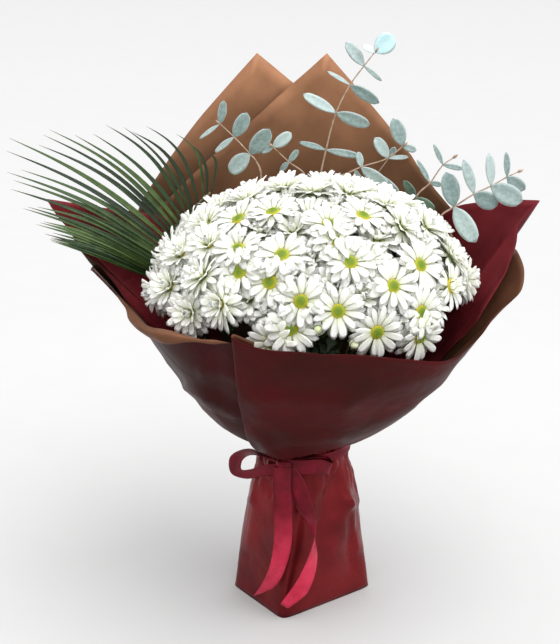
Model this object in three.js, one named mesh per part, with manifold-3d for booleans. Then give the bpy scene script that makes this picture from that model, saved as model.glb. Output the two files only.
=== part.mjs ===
// A wrapped, hand-tied bunch of white daisy chrysanthemums with eucalyptus and a palm frond. It stands
// upright on the stems' cut ends, which rest on the film folded round its foot.
// Millimetres. +Z is up, -Y is the front and +X is the right. The origin is on the floor, under the
// middle of the foot.
import * as THREE from 'three';
import { mergeVertices } from 'three/addons/utils/BufferGeometryUtils.js';
import Module from 'manifold-3d';

const wasm = await Module();
wasm.setup();

// ---- Driving dimensions -------------------------------------------------------------------------
const TIE_Z = 160; // the tie, where the bunch is narrowest
const STEM_END_Z = 1.6; // the cut ends, just clear of the film under them
const SPLAY = 1.3; // how much wider the bundle is at the cut ends than at the tie
const SPIRAL = THREE.MathUtils.degToRad(38); // turn of the spiralled stems from the tie to the ends

const DOME_CENTRE = new THREE.Vector3(8, -14, 329);
const DOME_REACH = new THREE.Vector3(150, 124, 106); // from the centre to the heads' middles
const DOME_EDGE = 87; // degrees from straight up to the lowest heads
const HEAD_RADIUS = 26;
const HEAD_SPACING = 33;
const HEAD_TRIES = 700;
const HEAD_GAP = 0.4; // between neighbouring heads
const SPRAY_COUNT = 15;
const SPRAY_STEM_RADIUS = 2.2;
const SPRAY_BUNDLE_RADIUS = 19;
const BRANCH_RADIUS = 1.2;
const FORK_FOCUS = new THREE.Vector3(6, -14, 205); // the sprays' forks lie between here and the dome
const FORK_REACH = 0.6;

const GREENS_RING = 25.3; // radius, at the tie, of the ring of eucalyptus and palm stems
const TWIG_RADIUS = 1.5;

const FILM = 0.8; // thickness of the wrapping sheets
const CLIMB_STEPS = 7; // bands of a sheet between the neck and its rim
const NECK_LOW_Z = 152; // lower ends of the sheets, inside the neck
const NECK_HIGH_Z = 177; // where the sheets start to flare

const FOOT_LONG = 59; // half sizes of the foot's base, along its own two sides
const FOOT_SHORT = 46;
const FOOT_TURN = THREE.MathUtils.degToRad(36.5);
const FOOT_NECK_RADIUS = 45.6;
const FOOT_NECK_Z = 152; // the film is round from here up
const FOOT_TOP_Z = 175.4;
const FOOT_FILM = 1;

const RIBBON_WIDTH = 18;
const RIBBON_THICK = 0.9;
const RIBBON_RADIUS = 48.2; // inside of its turn round the neck
const RIBBON_Z = 167.5;
const RIBBON_TURN_HALF = 5.5; // half the height of that turn, where the ribbon is drawn together

const GOLDEN_ANGLE = Math.PI * (3 - Math.sqrt(5));
const V = (x, y, z) => new THREE.Vector3(x, y, z);
const UP = V(0, 0, 1);
const { lerp: mix, smoothstep } = THREE.MathUtils;

// ---- Places read off the photograph -------------------------------------------------------------
// The photograph looks down on the bunch a little. A pixel of it is a millimetre at the target.
const PHOTO_MIDDLE = [280, 322];
const VIEW_TARGET = V(-23, 5, 295); // what is seen at the picture's middle
const VIEW_DISTANCE = 1500;
const VIEW_DOWN = THREE.MathUtils.degToRad(20);

// The straight line from the eye through a pixel.
function sightline(px, py) {
  const toEye = V(0, -Math.cos(VIEW_DOWN), Math.sin(VIEW_DOWN)).multiplyScalar(VIEW_DISTANCE);
  const pictureUp = V(0, Math.sin(VIEW_DOWN), Math.cos(VIEW_DOWN));
  const place = V(px - PHOTO_MIDDLE[0], 0, 0).addScaledVector(pictureUp, PHOTO_MIDDLE[1] - py);
  return new THREE.Ray(VIEW_TARGET.clone().add(toEye), place.sub(toEye).normalize());
}

// The point that is seen at a pixel, at the depth y.
function seenAt([px, py, y]) {
  const { origin, direction } = sightline(px, py);
  return origin.clone().addScaledVector(direction, (y - origin.y) / direction.y);
}

// ---- Materials ----------------------------------------------------------------------------------
const finish = (color, roughness) => new THREE.MeshStandardMaterial({ color, roughness, metalness: 0 });
const LOOKS = {
  daisy: () => finish(0xf4f7ea, 0.6),
  eucalyptus: () => finish(0x9fb8b4, 0.65),
  palm: () => finish(0x3c4a25, 0.5),
  bronze: () => finish(0xa67554, 0.5),
  burgundy: () => finish(0x5b1f22, 0.5),
  ribbon: () => finish(0x9a2436, 0.35),
  tie: () => finish(0x8a7a58, 0.9),
};

// ---- Solids -------------------------------------------------------------------------------------
// A closed geometry as a solid that can be joined and cut.
function toSolid(geometry) {
  const bare = geometry.clone();
  bare.deleteAttribute('normal');
  bare.deleteAttribute('uv');
  const merged = mergeVertices(bare, 1e-4);
  const corners = merged.index.array;
  const kept = [];
  for (let i = 0; i < corners.length; i += 3) {
    const [a, b, c] = corners.slice(i, i + 3);
    if (a !== b && b !== c && c !== a) kept.push(a, b, c);
  }
  return new wasm.Manifold(
    new wasm.Mesh({
      numProp: 3,
      vertProperties: new Float32Array(merged.attributes.position.array),
      triVerts: new Uint32Array(kept),
    }),
  );
}

function toGeometry(solid) {
  const mesh = solid.getMesh();
  const geometry = new THREE.BufferGeometry();
  geometry.setAttribute('position', new THREE.BufferAttribute(mesh.vertProperties, 3));
  geometry.setIndex(new THREE.BufferAttribute(mesh.triVerts, 1));
  geometry.computeVertexNormals();
  return geometry;
}

const join = (solids) => solids.reduce((whole, next) => whole.add(next));

function namedMesh(name, geometry, material) {
  const mesh = new THREE.Mesh(geometry, material);
  mesh.name = name;
  return mesh;
}

// A round tube along a smooth curve through the points.
function tube(points, radius, sides, steps) {
  const outline = new THREE.Shape();
  for (let i = 0; i < sides; i += 1) {
    const angle = (2 * Math.PI * i) / sides;
    const corner = [radius * Math.cos(angle), radius * Math.sin(angle)];
    if (i === 0) outline.moveTo(...corner);
    else outline.lineTo(...corner);
  }
  outline.closePath();
  const path = new THREE.CatmullRomCurve3(points, false, 'centripetal');
  return new THREE.ExtrudeGeometry(outline, { extrudePath: path, steps, bevelEnabled: false });
}

// A straight tapering rod between two points.
function rod(from, to, startRadius, endRadius, sides) {
  const along = to.clone().sub(from);
  const geometry = new THREE.CylinderGeometry(endRadius, startRadius, along.length(), sides);
  geometry.applyQuaternion(new THREE.Quaternion().setFromUnitVectors(V(0, 1, 0), along.clone().normalize()));
  const middle = from.clone().lerp(to, 0.5);
  return geometry.translate(middle.x, middle.y, middle.z);
}

// A flat pointed blade from base to tip: four-sided, widest at its middle, thin along `face`.
function blade(base, tip, width, thickness, face) {
  const along = tip.clone().sub(base);
  const length = along.length();
  along.normalize();
  const across = new THREE.Vector3().crossVectors(face, along).normalize();
  const thin = new THREE.Vector3().crossVectors(along, across);
  const profile = [
    new THREE.Vector2(0, 0),
    new THREE.Vector2(0.5, length * 0.42),
    new THREE.Vector2(0, length),
  ];
  const geometry = new THREE.LatheGeometry(profile, 4);
  const axes = new THREE.Matrix4().makeBasis(
    across.clone().multiplyScalar(width),
    along,
    thin.clone().multiplyScalar(-thickness),
  );
  return geometry.applyMatrix4(axes.setPosition(base));
}

// A flat oval leaf whose base is at `base`, growing along `along` and facing `face`.
function ovalLeaf(base, along, face, length, width, thickness) {
  const across = new THREE.Vector3().crossVectors(face, along).normalize();
  const normal = new THREE.Vector3().crossVectors(along, across).normalize();
  const profile = [new THREE.Vector2(0, -0.5), new THREE.Vector2(1, 0), new THREE.Vector2(0, 0.5)];
  const geometry = new THREE.LatheGeometry(profile, 8);
  const axes = new THREE.Matrix4().makeBasis(
    across.clone().multiplyScalar(width / 2),
    normal.clone().multiplyScalar(thickness),
    along.clone().multiplyScalar(length / 2),
  );
  return geometry.applyMatrix4(axes.setPosition(base.clone().addScaledVector(along, length / 2 - LEAF_HOLD)));
}

// A closed geometry from rings of equal length, capped at both ends by fans.
function loft(rings) {
  const count = rings[0].length;
  const points = rings.flat();
  const triangles = [];
  for (let r = 0; r + 1 < rings.length; r += 1) {
    for (let i = 0; i < count; i += 1) {
      const [a, b] = [r * count + i, r * count + ((i + 1) % count)];
      triangles.push(a, b, b + count, a, b + count, a + count);
    }
  }
  const last = (rings.length - 1) * count;
  for (const [start, flip] of [[0, true], [last, false]]) {
    const centre = points.slice(start, start + count).reduce((sum, p) => sum.add(p), V(0, 0, 0));
    points.push(centre.divideScalar(count));
    for (let i = 0; i < count; i += 1) {
      const edge = [start + i, start + ((i + 1) % count)];
      triangles.push(...(flip ? edge.reverse() : edge), points.length - 1);
    }
  }
  const geometry = new THREE.BufferGeometry().setFromPoints(points);
  geometry.setIndex(triangles);
  return geometry;
}

// A thin closed slab whose middle surface is a grid of points, rows by columns.
function slab(grid, thickness) {
  const [rows, columns] = [grid.length, grid[0].length];
  const at = (r, c) => grid[Math.min(Math.max(r, 0), rows - 1)][Math.min(Math.max(c, 0), columns - 1)];
  const sides = [[], []];
  for (let r = 0; r < rows; r += 1) {
    for (let c = 0; c < columns; c += 1) {
      const alongRow = at(r, c + 1).clone().sub(at(r, c - 1));
      const alongColumn = at(r + 1, c).clone().sub(at(r - 1, c));
      const normal = alongRow.cross(alongColumn).normalize();
      sides[0].push(grid[r][c].clone().addScaledVector(normal, thickness / 2));
      sides[1].push(grid[r][c].clone().addScaledVector(normal, -thickness / 2));
    }
  }
  const back = rows * columns;
  const triangles = [];
  const quad = (a, b, c, d) => triangles.push(a, b, c, a, c, d);
  const id = (r, c) => r * columns + c;
  for (let r = 0; r + 1 < rows; r += 1) {
    for (let c = 0; c + 1 < columns; c += 1) {
      const [p, q, s, t] = [id(r, c), id(r, c + 1), id(r + 1, c + 1), id(r + 1, c)];
      quad(p, q, s, t);
      quad(back + p, back + t, back + s, back + q); // the same diagonal, so the two sides never meet
    }
  }
  const rim = [];
  for (let c = 0; c < columns; c += 1) rim.push(id(0, c));
  for (let r = 1; r < rows; r += 1) rim.push(id(r, columns - 1));
  for (let c = columns - 2; c >= 0; c -= 1) rim.push(id(rows - 1, c));
  for (let r = rows - 2; r > 0; r -= 1) rim.push(id(r, 0));
  rim.forEach((a, i) => {
    const b = rim[(i + 1) % rim.length];
    quad(b, a, back + a, back + b);
  });
  const geometry = new THREE.BufferGeometry().setFromPoints([...sides[0], ...sides[1]]);
  geometry.setIndex(triangles);
  return geometry;
}

// ---- The stems' bundle --------------------------------------------------------------------------
// Where a stem is at height z on its way from the cut ends to the tie, from its place at the tie. All
// the stems turn and spread together, so none meets another.
function bundlePoint(atTie, z) {
  const down = Math.max(TIE_Z - z, 0) / TIE_Z;
  const point = V(atTie.x, atTie.y, 0).applyAxisAngle(UP, -SPIRAL * down);
  return point.multiplyScalar(1 + (SPLAY - 1) * down).setZ(z);
}

const bundleRun = (atTie) => [STEM_END_Z, TIE_Z / 2, TIE_Z, TIE_Z + 8].map((z) => bundlePoint(atTie, z));

// A point of the plan, from an angle in degrees (0 is the front, 90 the right) and a radius.
function around(degrees, radius, z) {
  const angle = THREE.MathUtils.degToRad(degrees);
  return V(radius * Math.sin(angle), -radius * Math.cos(angle), z);
}

// ---- Daisy heads and sprays ---------------------------------------------------------------------
// Pixels of the discs that face the front, from the left to the right.
const DISCS = [
  [239, 219], [238, 249], [240, 272], [273, 212], [270, 282], [282, 255], [273, 342], [291, 329], [301, 301],
  [329, 224], [335, 240], [350, 262], [338, 311], [363, 216], [377, 332], [393, 286], [420, 265], [421, 312],
  [420, 337], [451, 286],
];

// A place on the dome, from the way that leads to it from the middle of a ball of radius 1.
const domeSpot = (unit) => ({
  at: unit.clone().multiply(DOME_REACH).add(DOME_CENTRE),
  facing: unit.clone().divide(DOME_REACH).normalize(),
});

// The place on the dome that is seen at a pixel.
function domeSeen([px, py]) {
  const { origin, direction } = sightline(px, py);
  const start = origin.clone().sub(DOME_CENTRE).divide(DOME_REACH);
  const line = new THREE.Ray(start, direction.clone().divide(DOME_REACH).normalize());
  return domeSpot(line.intersectSphere(new THREE.Sphere(V(0, 0, 0), 1), V(0, 0, 0)));
}

// Spot i of count, spread evenly over the dome from its top to its edge.
function evenSpot(i, count) {
  const edge = THREE.MathUtils.degToRad(DOME_EDGE);
  const height = 1 - ((i + 0.5) / count) * (1 - Math.cos(edge));
  const bearing = i * GOLDEN_ANGLE;
  const level = Math.sqrt(1 - height ** 2);
  return domeSpot(V(level * Math.sin(bearing), -level * Math.cos(bearing), height));
}

// The heads whose discs are seen, then others wherever the dome still has room.
function placeHeads() {
  const heads = DISCS.map(domeSeen);
  for (let i = 0; i < HEAD_TRIES; i += 1) {
    const spot = evenSpot(i, HEAD_TRIES);
    if (heads.every((head) => head.at.distanceTo(spot.at) >= HEAD_SPACING)) heads.push(spot);
  }
  return heads;
}

// A head as a shallow cup, cut back to the middle plane between it and each neighbour.
function headSolid(head, heads) {
  const profile = [
    new THREE.Vector2(0, -6.5),
    new THREE.Vector2(HEAD_RADIUS, 1.5),
    new THREE.Vector2(0, 5),
  ];
  const cup = new THREE.LatheGeometry(profile, 7);
  cup.applyQuaternion(new THREE.Quaternion().setFromUnitVectors(V(0, 1, 0), head.facing));
  let solid = toSolid(cup.translate(...head.at.toArray()));
  const blockSize = 6 * HEAD_RADIUS;
  for (const other of heads) {
    const apart = other.at.clone().sub(head.at);
    const distance = apart.length();
    if (other === head || distance > 2 * HEAD_RADIUS + 8) continue;
    apart.normalize();
    const block = new THREE.BoxGeometry(blockSize, blockSize, blockSize);
    block.applyQuaternion(new THREE.Quaternion().setFromUnitVectors(V(0, 1, 0), apart));
    const reach = (distance - HEAD_GAP) / 2 - blockSize / 2;
    block.translate(...head.at.clone().addScaledVector(apart, reach).toArray());
    solid = solid.intersect(toSolid(block));
  }
  return solid;
}

function daisySpray(index, seed, own, heads) {
  const atTie = around(
    THREE.MathUtils.radToDeg(index * GOLDEN_ANGLE),
    SPRAY_BUNDLE_RADIUS * Math.sqrt((index + 0.5) / SPRAY_COUNT),
    TIE_Z,
  );
  const fork = FORK_FOCUS.clone().lerp(seed.at, FORK_REACH);
  const rise = (t) => {
    const outward = t ** 1.4;
    return V(
      atTie.x + (fork.x - atTie.x) * outward,
      atTie.y + (fork.y - atTie.y) * outward,
      TIE_Z + (fork.z - TIE_Z) * t,
    );
  };
  const stemPath = [...bundleRun(atTie), rise(1 / 3), rise(2 / 3), fork];
  const solids = [toSolid(tube(stemPath, SPRAY_STEM_RADIUS, 6, 9))];
  const branchStart = rise(0.97);
  for (const head of own) {
    const under = head.at.clone().addScaledVector(head.facing, -4);
    solids.push(toSolid(rod(branchStart, under, BRANCH_RADIUS, BRANCH_RADIUS, 4)));
    solids.push(headSolid(head, heads));
  }
  return join(solids);
}

function daisySprays() {
  const heads = placeHeads();
  const seeds = Array.from({ length: SPRAY_COUNT }, (_, i) => evenSpot(i, SPRAY_COUNT));
  const shares = seeds.map(() => []);
  for (const head of heads) {
    const distances = seeds.map((seed) => seed.at.distanceTo(head.at));
    shares[distances.indexOf(Math.min(...distances))].push(head);
  }
  return seeds.map((seed, i) => {
    const name = `daisy_spray_${String(i + 1).padStart(2, '0')}`;
    return namedMesh(name, toGeometry(daisySpray(i, seed, shares[i], heads)), LOOKS.daisy());
  });
}

// ---- Eucalyptus ---------------------------------------------------------------------------------
// Each sprig: its angle on the ring at the tie, its way up past the dome, then the pixels of its nodes
// and the depth they are at, and for each leaf [node, angle in the front view (0 is right, 90 is up),
// length, width, lean to the back].
const SPRIGS = [
  {
    name: 'eucalyptus_sprig_tall', ring: 178,
    rise: [[12, 66, 240], [16, 127, 335]],
    depth: 112, nodes: [[320, 180], [326, 150], [336, 113], [350, 85], [364, 66], [375, 52]],
    leaves: [
      [5, 40, 26, 21, 0.2], [5, 150, 15, 8, -0.2], [4, 128, 31, 13, 0.1], [4, -40, 27, 5, 0.2],
      [3, 150, 28, 5, 0.2], [3, -31, 36, 12, -0.1], [2, 152, 40, 12, 0.2], [2, -19, 38, 14, -0.1],
      [1, 164, 30, 7, 0.1], [1, -12, 38, 8, 0.1],
    ],
  },
  {
    name: 'eucalyptus_sprig_left', ring: -140,
    rise: [[-36, 60, 240], [-58, 120, 335]],
    depth: 96, nodes: [[261, 174], [256, 161], [250, 154], [234, 137], [220, 124]],
    leaves: [
      [4, 80, 25, 9, 0.1], [4, 217, 29, 5, 0.2], [3, 60, 29, 15, 0.1], [3, 220, 27, 7, 0.1],
      [2, 52, 34, 18, -0.1], [2, 223, 31, 18, 0.1],
    ],
  },
  {
    name: 'eucalyptus_sprig_inner', ring: -161,
    rise: [[-12, 66, 240], [-12, 127, 335]],
    depth: 116, nodes: [[306, 177], [289, 162], [273, 147]],
    leaves: [[2, 36, 25, 13, 0.1], [2, 205, 15, 8, 0.1], [1, 52, 17, 7, 0.2], [1, 228, 16, 7, 0.2]],
  },
  {
    name: 'eucalyptus_sprig_dark', ring: 157,
    rise: [[30, 64, 240], [41, 125, 335]],
    depth: 104, nodes: [[326, 184], [348, 173], [361, 167], [388, 158], [403, 146]],
    leaves: [
      [4, 110, 31, 16, 0.1], [4, -20, 16, 8, 0.1], [3, 122, 26, 13, 0.1], [3, 0, 23, 5, 0.2],
      [2, 100, 17, 8, 0.3], [2, -36, 36, 14, -0.1],
    ],
  },
  {
    name: 'eucalyptus_sprig_short', ring: 136,
    rise: [[46, 58, 240], [76, 119, 335]],
    depth: 113, nodes: [[366, 190], [377, 174], [389, 158]],
    leaves: [[0, 120, 26, 6, 0.1], [1, -40, 32, 8, -0.1], [2, 60, 14, 7, 0.2]],
  },
  {
    name: 'eucalyptus_sprig_right', ring: 114,
    rise: [[62, 46, 240], [130, 94, 330]],
    depth: 81, nodes: [[416, 198], [430, 183], [443, 165], [453, 158]],
    leaves: [
      [2, 115, 24, 6, 0.1], [2, -12, 23, 6, 0.1], [1, 120, 28, 6, 0.2], [1, -10, 14, 6, 0.1],
      [0, 125, 24, 9, -0.1], [0, -32, 24, 12, -0.3],
    ],
  },
  {
    name: 'eucalyptus_sprig_low', ring: 92,
    rise: [[62, 26, 236], [118, 43, 282], [151, 62, 316], [153, 49, 346], [148, 34, 378]],
    depth: 12, nodes: [[441, 216], [454, 207], [474, 194], [491, 186], [507, 177], [518, 172]],
    leaves: [
      [1, 103, 36, 19, 0.1], [1, -56, 42, 19, -0.5], [2, 108, 36, 11, 0.1], [2, -25, 27, 18, -0.1],
      [3, 95, 33, 10, 0.1], [3, -24, 35, 21, -0.3], [4, 92, 25, 7, 0.1], [4, -34, 23, 13, -0.1],
    ],
  },
];
const LEAF_THICK = 1.6;
const LEAF_HOLD = 2; // how far a leaf's base reaches back over its stem

function eucalyptusSprig({ name, ring, rise, depth, nodes, leaves }) {
  const places = nodes.map(([px, py]) => seenAt([px, py, depth]));
  const path = [...bundleRun(around(ring, GREENS_RING, TIE_Z)), ...rise.map((p) => V(...p)), ...places];
  const solids = [toSolid(tube(path, TWIG_RADIUS, 5, 22))];
  for (const [node, angle, length, width, lean] of leaves) {
    const turn = THREE.MathUtils.degToRad(angle);
    const along = V(Math.cos(turn), lean, Math.sin(turn)).normalize();
    const face = V(0.25 * Math.sin(turn), -1, 0.3 - 0.25 * Math.cos(turn));
    solids.push(toSolid(ovalLeaf(places[node], along, face, length, width, LEAF_THICK)));
  }
  return namedMesh(name, toGeometry(join(solids)), LOOKS.eucalyptus());
}

// ---- Palm frond ---------------------------------------------------------------------------------
const PALM_RING = -114;
const PALM_RIB = [
  [-60, 28, 232], [-118, 38, 286], [-147, 46, 322], [-143, 35, 362], [-119, 38, 394], [-92, 38, 420],
];
const PALM_RIB_RADIUS = 1.7;
const PALM_FIRST = 0.68; // how far up the stalk its lowest leaflet grows
const PALM_DEPTHS = [2, 22]; // of the lowest and the last leaflet's tip
// Pixels of the leaflets' tips, from the lowest round to the last.
const PALM_TIPS = [
  [51, 241], [31, 218], [12, 192], [7, 170], [7, 140], [41, 130], [79, 131], [115, 124], [135, 127],
  [175, 126], [203, 155],
];
const LEAFLETS = 26;
const LEAFLET_WIDTH = 7;
const LEAFLET_THICK = 1.4;

function palmFrond() {
  const stalk = [...bundleRun(around(PALM_RING, GREENS_RING, TIE_Z)), ...PALM_RIB.map((p) => V(...p))];
  const bases = new THREE.CatmullRomCurve3(stalk, false, 'centripetal');
  const tips = new THREE.CatmullRomCurve3(
    PALM_TIPS.map((p, i) => seenAt([...p, mix(...PALM_DEPTHS, i / (PALM_TIPS.length - 1))])),
  );
  const solids = [toSolid(tube(stalk, PALM_RIB_RADIUS, 5, 40))];
  for (let i = 0; i < LEAFLETS; i += 1) {
    const t = i / (LEAFLETS - 1);
    const [base, tip] = [bases.getPoint(mix(PALM_FIRST, 1, t)), tips.getPoint(t)];
    const backward = base.clone().lerp(tip, -0.03);
    solids.push(toSolid(blade(backward, tip, LEAFLET_WIDTH, LEAFLET_THICK, V(0.3, -1, 0.5))));
  }
  return namedMesh('palm_frond', toGeometry(join(solids)), LOOKS.palm());
}

// ---- Wrapping sheets ----------------------------------------------------------------------------
// Points along a rim made of one or more smooth stretches, which meet at sharp corners.
function rimPoints(stretches, perStretch) {
  const points = [];
  stretches.forEach((stretch, s) => {
    const curve = new THREE.CatmullRomCurve3(stretch.map((p) => V(...p)), false, 'centripetal');
    for (let i = s === 0 ? 0 : 1; i <= perStretch[s]; i += 1) points.push(curve.getPoint(i / perStretch[s]));
  });
  return points;
}

// A sheet from its arc at the neck up to its rim. It stands straight in the neck, flares out of it and
// then rises to the rim. At a share of the way along the rim, `flare` is how far out and up it heads as it
// leaves the neck, `rise` how long it heads for the rim, `lean` how much the rim leans outwards, and `roll`
// the radius of a rolled lip.
function wrapSheet({ neckRadius, neckArc, neckTop = NECK_HIGH_Z, rim, perStretch, flare, rise, lean, roll }) {
  const edge = rimPoints(rim, perStretch);
  const columns = edge.map((top, i) => {
    const share = i / (edge.length - 1);
    const angle = mix(neckArc[0], neckArc[1], share);
    const outAtNeck = around(angle, 1, 0);
    const low = around(angle, neckRadius, NECK_LOW_Z);
    const high = around(angle, neckRadius, neckTop);
    const outAtRim = V(top.x, top.y, 0).normalize();
    const rimWay = outAtRim.clone().multiplyScalar(lean(share)).addScaledVector(UP, 1).normalize();
    const [out, up] = flare(share);
    const flareEnd = high.clone().addScaledVector(outAtNeck, out).addScaledVector(UP, up);
    const riseStart = top.clone().addScaledVector(rimWay, -rise(top, share));
    const climb = new THREE.CubicBezierCurve3(high, flareEnd, riseStart, top).getPoints(CLIMB_STEPS);
    const lip = [];
    if (roll) {
      const radius = roll(share);
      for (const turn of [60, 120, 180, 215].map(THREE.MathUtils.degToRad)) {
        lip.push(
          top.clone()
            .addScaledVector(rimWay, radius * Math.sin(turn))
            .addScaledVector(outAtRim, radius * (1 - Math.cos(turn))),
        );
      }
    }
    return [low, ...climb, ...lip];
  });
  const rows = columns[0].map((_, r) => columns.map((column) => column[r]));
  return slab(rows, FILM);
}

const BACK_SHOULDER_Z = 300; // where the back sheets turn from flaring to rising
const backRise = (top) => top.z - BACK_SHOULDER_Z;

// A front sheet's profile changes along its rim, from the part across the front to the part at the side.
const leftProfile = (share, front, side, back) => {
  const atSide = mix(side, back, 1 - smoothstep(share, 0.2, 0.5));
  return mix(front, atSide, 1 - smoothstep(share, 0.45, 0.95));
};
const rightProfile = (share, front, corner, side) => {
  const inFront = mix(front, corner, smoothstep(share, 0.12, 0.36));
  return mix(inFront, side, smoothstep(share, 0.42, 0.62));
};

// A value of the right side sheet's profile, from its hidden edge to the wing's edge.
const wingProfile = (share, hidden, wing) => mix(hidden, wing, smoothstep(share, 0.1, 0.45));

// A rim's points are places on the bunch, or pixels with a depth where the photograph shows its outline.
const SHEETS = [
  {
    name: 'side_sheet_left', look: 'burgundy', neckRadius: 33.4, neckArc: [-146, -88],
    rim: [
      [[-140, 84, 382], [-164, 70, 390], [-204, 54, 400], [-256, 46, 411]],
      [[-256, 46, 411], [-240, 43, 386], [-224, 40, 362], [-198, 30, 342], [-176, 10, 318]],
    ],
    perStretch: [5, 9], flare: () => [48, 36], rise: () => 64, lean: (share) => Math.min(2.2 * share - 0.2, 0.7),
  },
  {
    name: 'side_sheet_right', look: 'burgundy', neckRadius: 33.4, neckArc: [132, 73.5],
    rim: [
      [[141, 84, 386], [167, 62, 401], [206, 35, 413], [231, 20, 417]],
      [
        [231, 20, 417], [212, 10, 402], [207, -2, 381], [199, -14, 363], [188, -26, 347], [178, -34, 331],
        [167, -42, 315],
      ],
    ],
    perStretch: [5, 7],
    flare: (share) => [wingProfile(share, 55, 52.5), wingProfile(share, 36, 29.5)],
    rise: () => 88.5,
    lean: (share) => mix(Math.min(3.6 * share - 0.8, 0.55), mix(0.69, 0.81, smoothstep(share, 0.6, 1)),
      smoothstep(share, 0.42, 0.6)),
  },
  {
    name: 'back_sheet_right', look: 'bronze', neckRadius: 35.6, neckArc: [-128, -238],
    rim: [
      [[151, 216, 126], [202, 166, 146], [246, 126, 150], [327, 53, 152]].map(seenAt),
      [[327, 53, 152], [363, 95, 151], [393, 132, 149], [431, 184, 134], [470, 230, 104]].map(seenAt),
    ],
    perStretch: [7, 7], flare: () => [76, 52], rise: backRise, lean: () => -0.05,
  },
  {
    name: 'back_sheet_left', look: 'bronze', neckRadius: 37.8, neckArc: [-122, -236],
    rim: [
      [[124, 241, 116], [145, 198, 144], [160, 172, 156], [196, 123, 162], [257, 53, 164]].map(seenAt),
      [[257, 53, 164], [293, 83, 164], [358, 134, 164], [413, 190, 160]].map(seenAt),
    ],
    perStretch: [7, 6], flare: () => [82, 48], rise: backRise, lean: () => -0.05,
  },
  {
    name: 'front_sheet_left', look: 'burgundy', neckRadius: 40, neckArc: [-118, -8],
    rim: [[
      [-190, 148, 312], [-210, 98, 327], [-213, 48, 337], [-206, 14, 345], [-168, -38, 327], [-149, -78, 324],
      [-118, -118, 327], [-94, -132, 327], [-60, -148, 330], [-18, -153, 320],
    ]],
    perStretch: [16], neckTop: NECK_HIGH_Z + 2.6,
    flare: (share) => [leftProfile(share, 60, 86, 86), leftProfile(share, -8, 29, 29)],
    rise: (top, share) => leftProfile(share, 40, 111, 111),
    lean: (share) => leftProfile(share, 0.3, 0.68, 1.2),
    roll: (share) => 1.4 + 9.5 * Math.exp(-(((share - 0.66) / (share < 0.66 ? 0.16 : 0.05)) ** 2)),
  },
  {
    name: 'front_sheet_right', look: 'burgundy', neckRadius: 42.2, neckArc: [-38, 114],
    rim: [[
      [-64, -157, 339], [-38, -162, 331], [7, -164, 328], [57, -158, 322], [92, -146, 315], [122, -126, 305],
      [140, -106, 301], [154, -82, 303], [167, -62, 305], [190, -40, 326], [210, -26, 341], [214, -10, 357],
      [210, 16, 368], [212, 54, 350], [210, 96, 322], [192, 138, 288],
    ]],
    perStretch: [20],
    flare: (share) => [rightProfile(share, 62, 46, 49), rightProfile(share, -14, 6, 30)],
    rise: (top, share) => rightProfile(share, 40, 57, 72),
    lean: (share) => rightProfile(share, 0.3, 0.39, 0.85),
  },
];

const sheetMesh = (sheet) => namedMesh(sheet.name, wrapSheet(sheet), LOOKS[sheet.look]());

// ---- Foot film ----------------------------------------------------------------------------------
const FOOT_POINTS = 28;

// The film's outline at height z: nearly a rectangle on the floor and a circle at the neck.
function footOutline(z, inset) {
  const climb = Math.min(z / FOOT_NECK_Z, 1);
  const squareness = 2 / (2 + 10 * (1 - climb) ** 1.5);
  const long = mix(FOOT_LONG, FOOT_NECK_RADIUS, climb ** 0.8) - inset;
  const short = mix(FOOT_SHORT, FOOT_NECK_RADIUS, climb ** 0.8) - inset;
  const bent = (value) => Math.sign(value) * Math.abs(value) ** squareness;
  return Array.from({ length: FOOT_POINTS }, (_, i) => {
    const angle = (2 * Math.PI * i) / FOOT_POINTS;
    return V(long * bent(Math.cos(angle)), short * bent(Math.sin(angle)), z).applyAxisAngle(UP, FOOT_TURN);
  });
}

function footFilm() {
  const heights = [0, 35, 80, 125, FOOT_TOP_Z];
  const outer = heights.map((z) => footOutline(z, 0));
  const inner = heights.map((z) => footOutline(Math.max(z, FOOT_FILM), FOOT_FILM)).reverse();
  return namedMesh('foot_film', loft([...outer, ...inner]), LOOKS.burgundy());
}

// ---- Tie and ribbon -----------------------------------------------------------------------------
// A flat ring round the neck, from its inner and outer radius, half its height and its middle's height.
function ring(inner, outer, half, z) {
  const corners = [[inner, -half], [outer, -half], [outer, half], [inner, half], [inner, -half]];
  const band = new THREE.LatheGeometry(corners.map((c) => new THREE.Vector2(...c)), 28);
  return band.rotateX(Math.PI / 2).translate(0, 0, z);
}

const TIE_RADIUS = 29;
const TIE_THICK = 2.4;
const bindingTie = () => namedMesh(
  'binding_tie', ring(TIE_RADIUS, TIE_RADIUS + TIE_THICK, TIE_THICK, TIE_Z), LOOKS.tie(),
);

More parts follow.
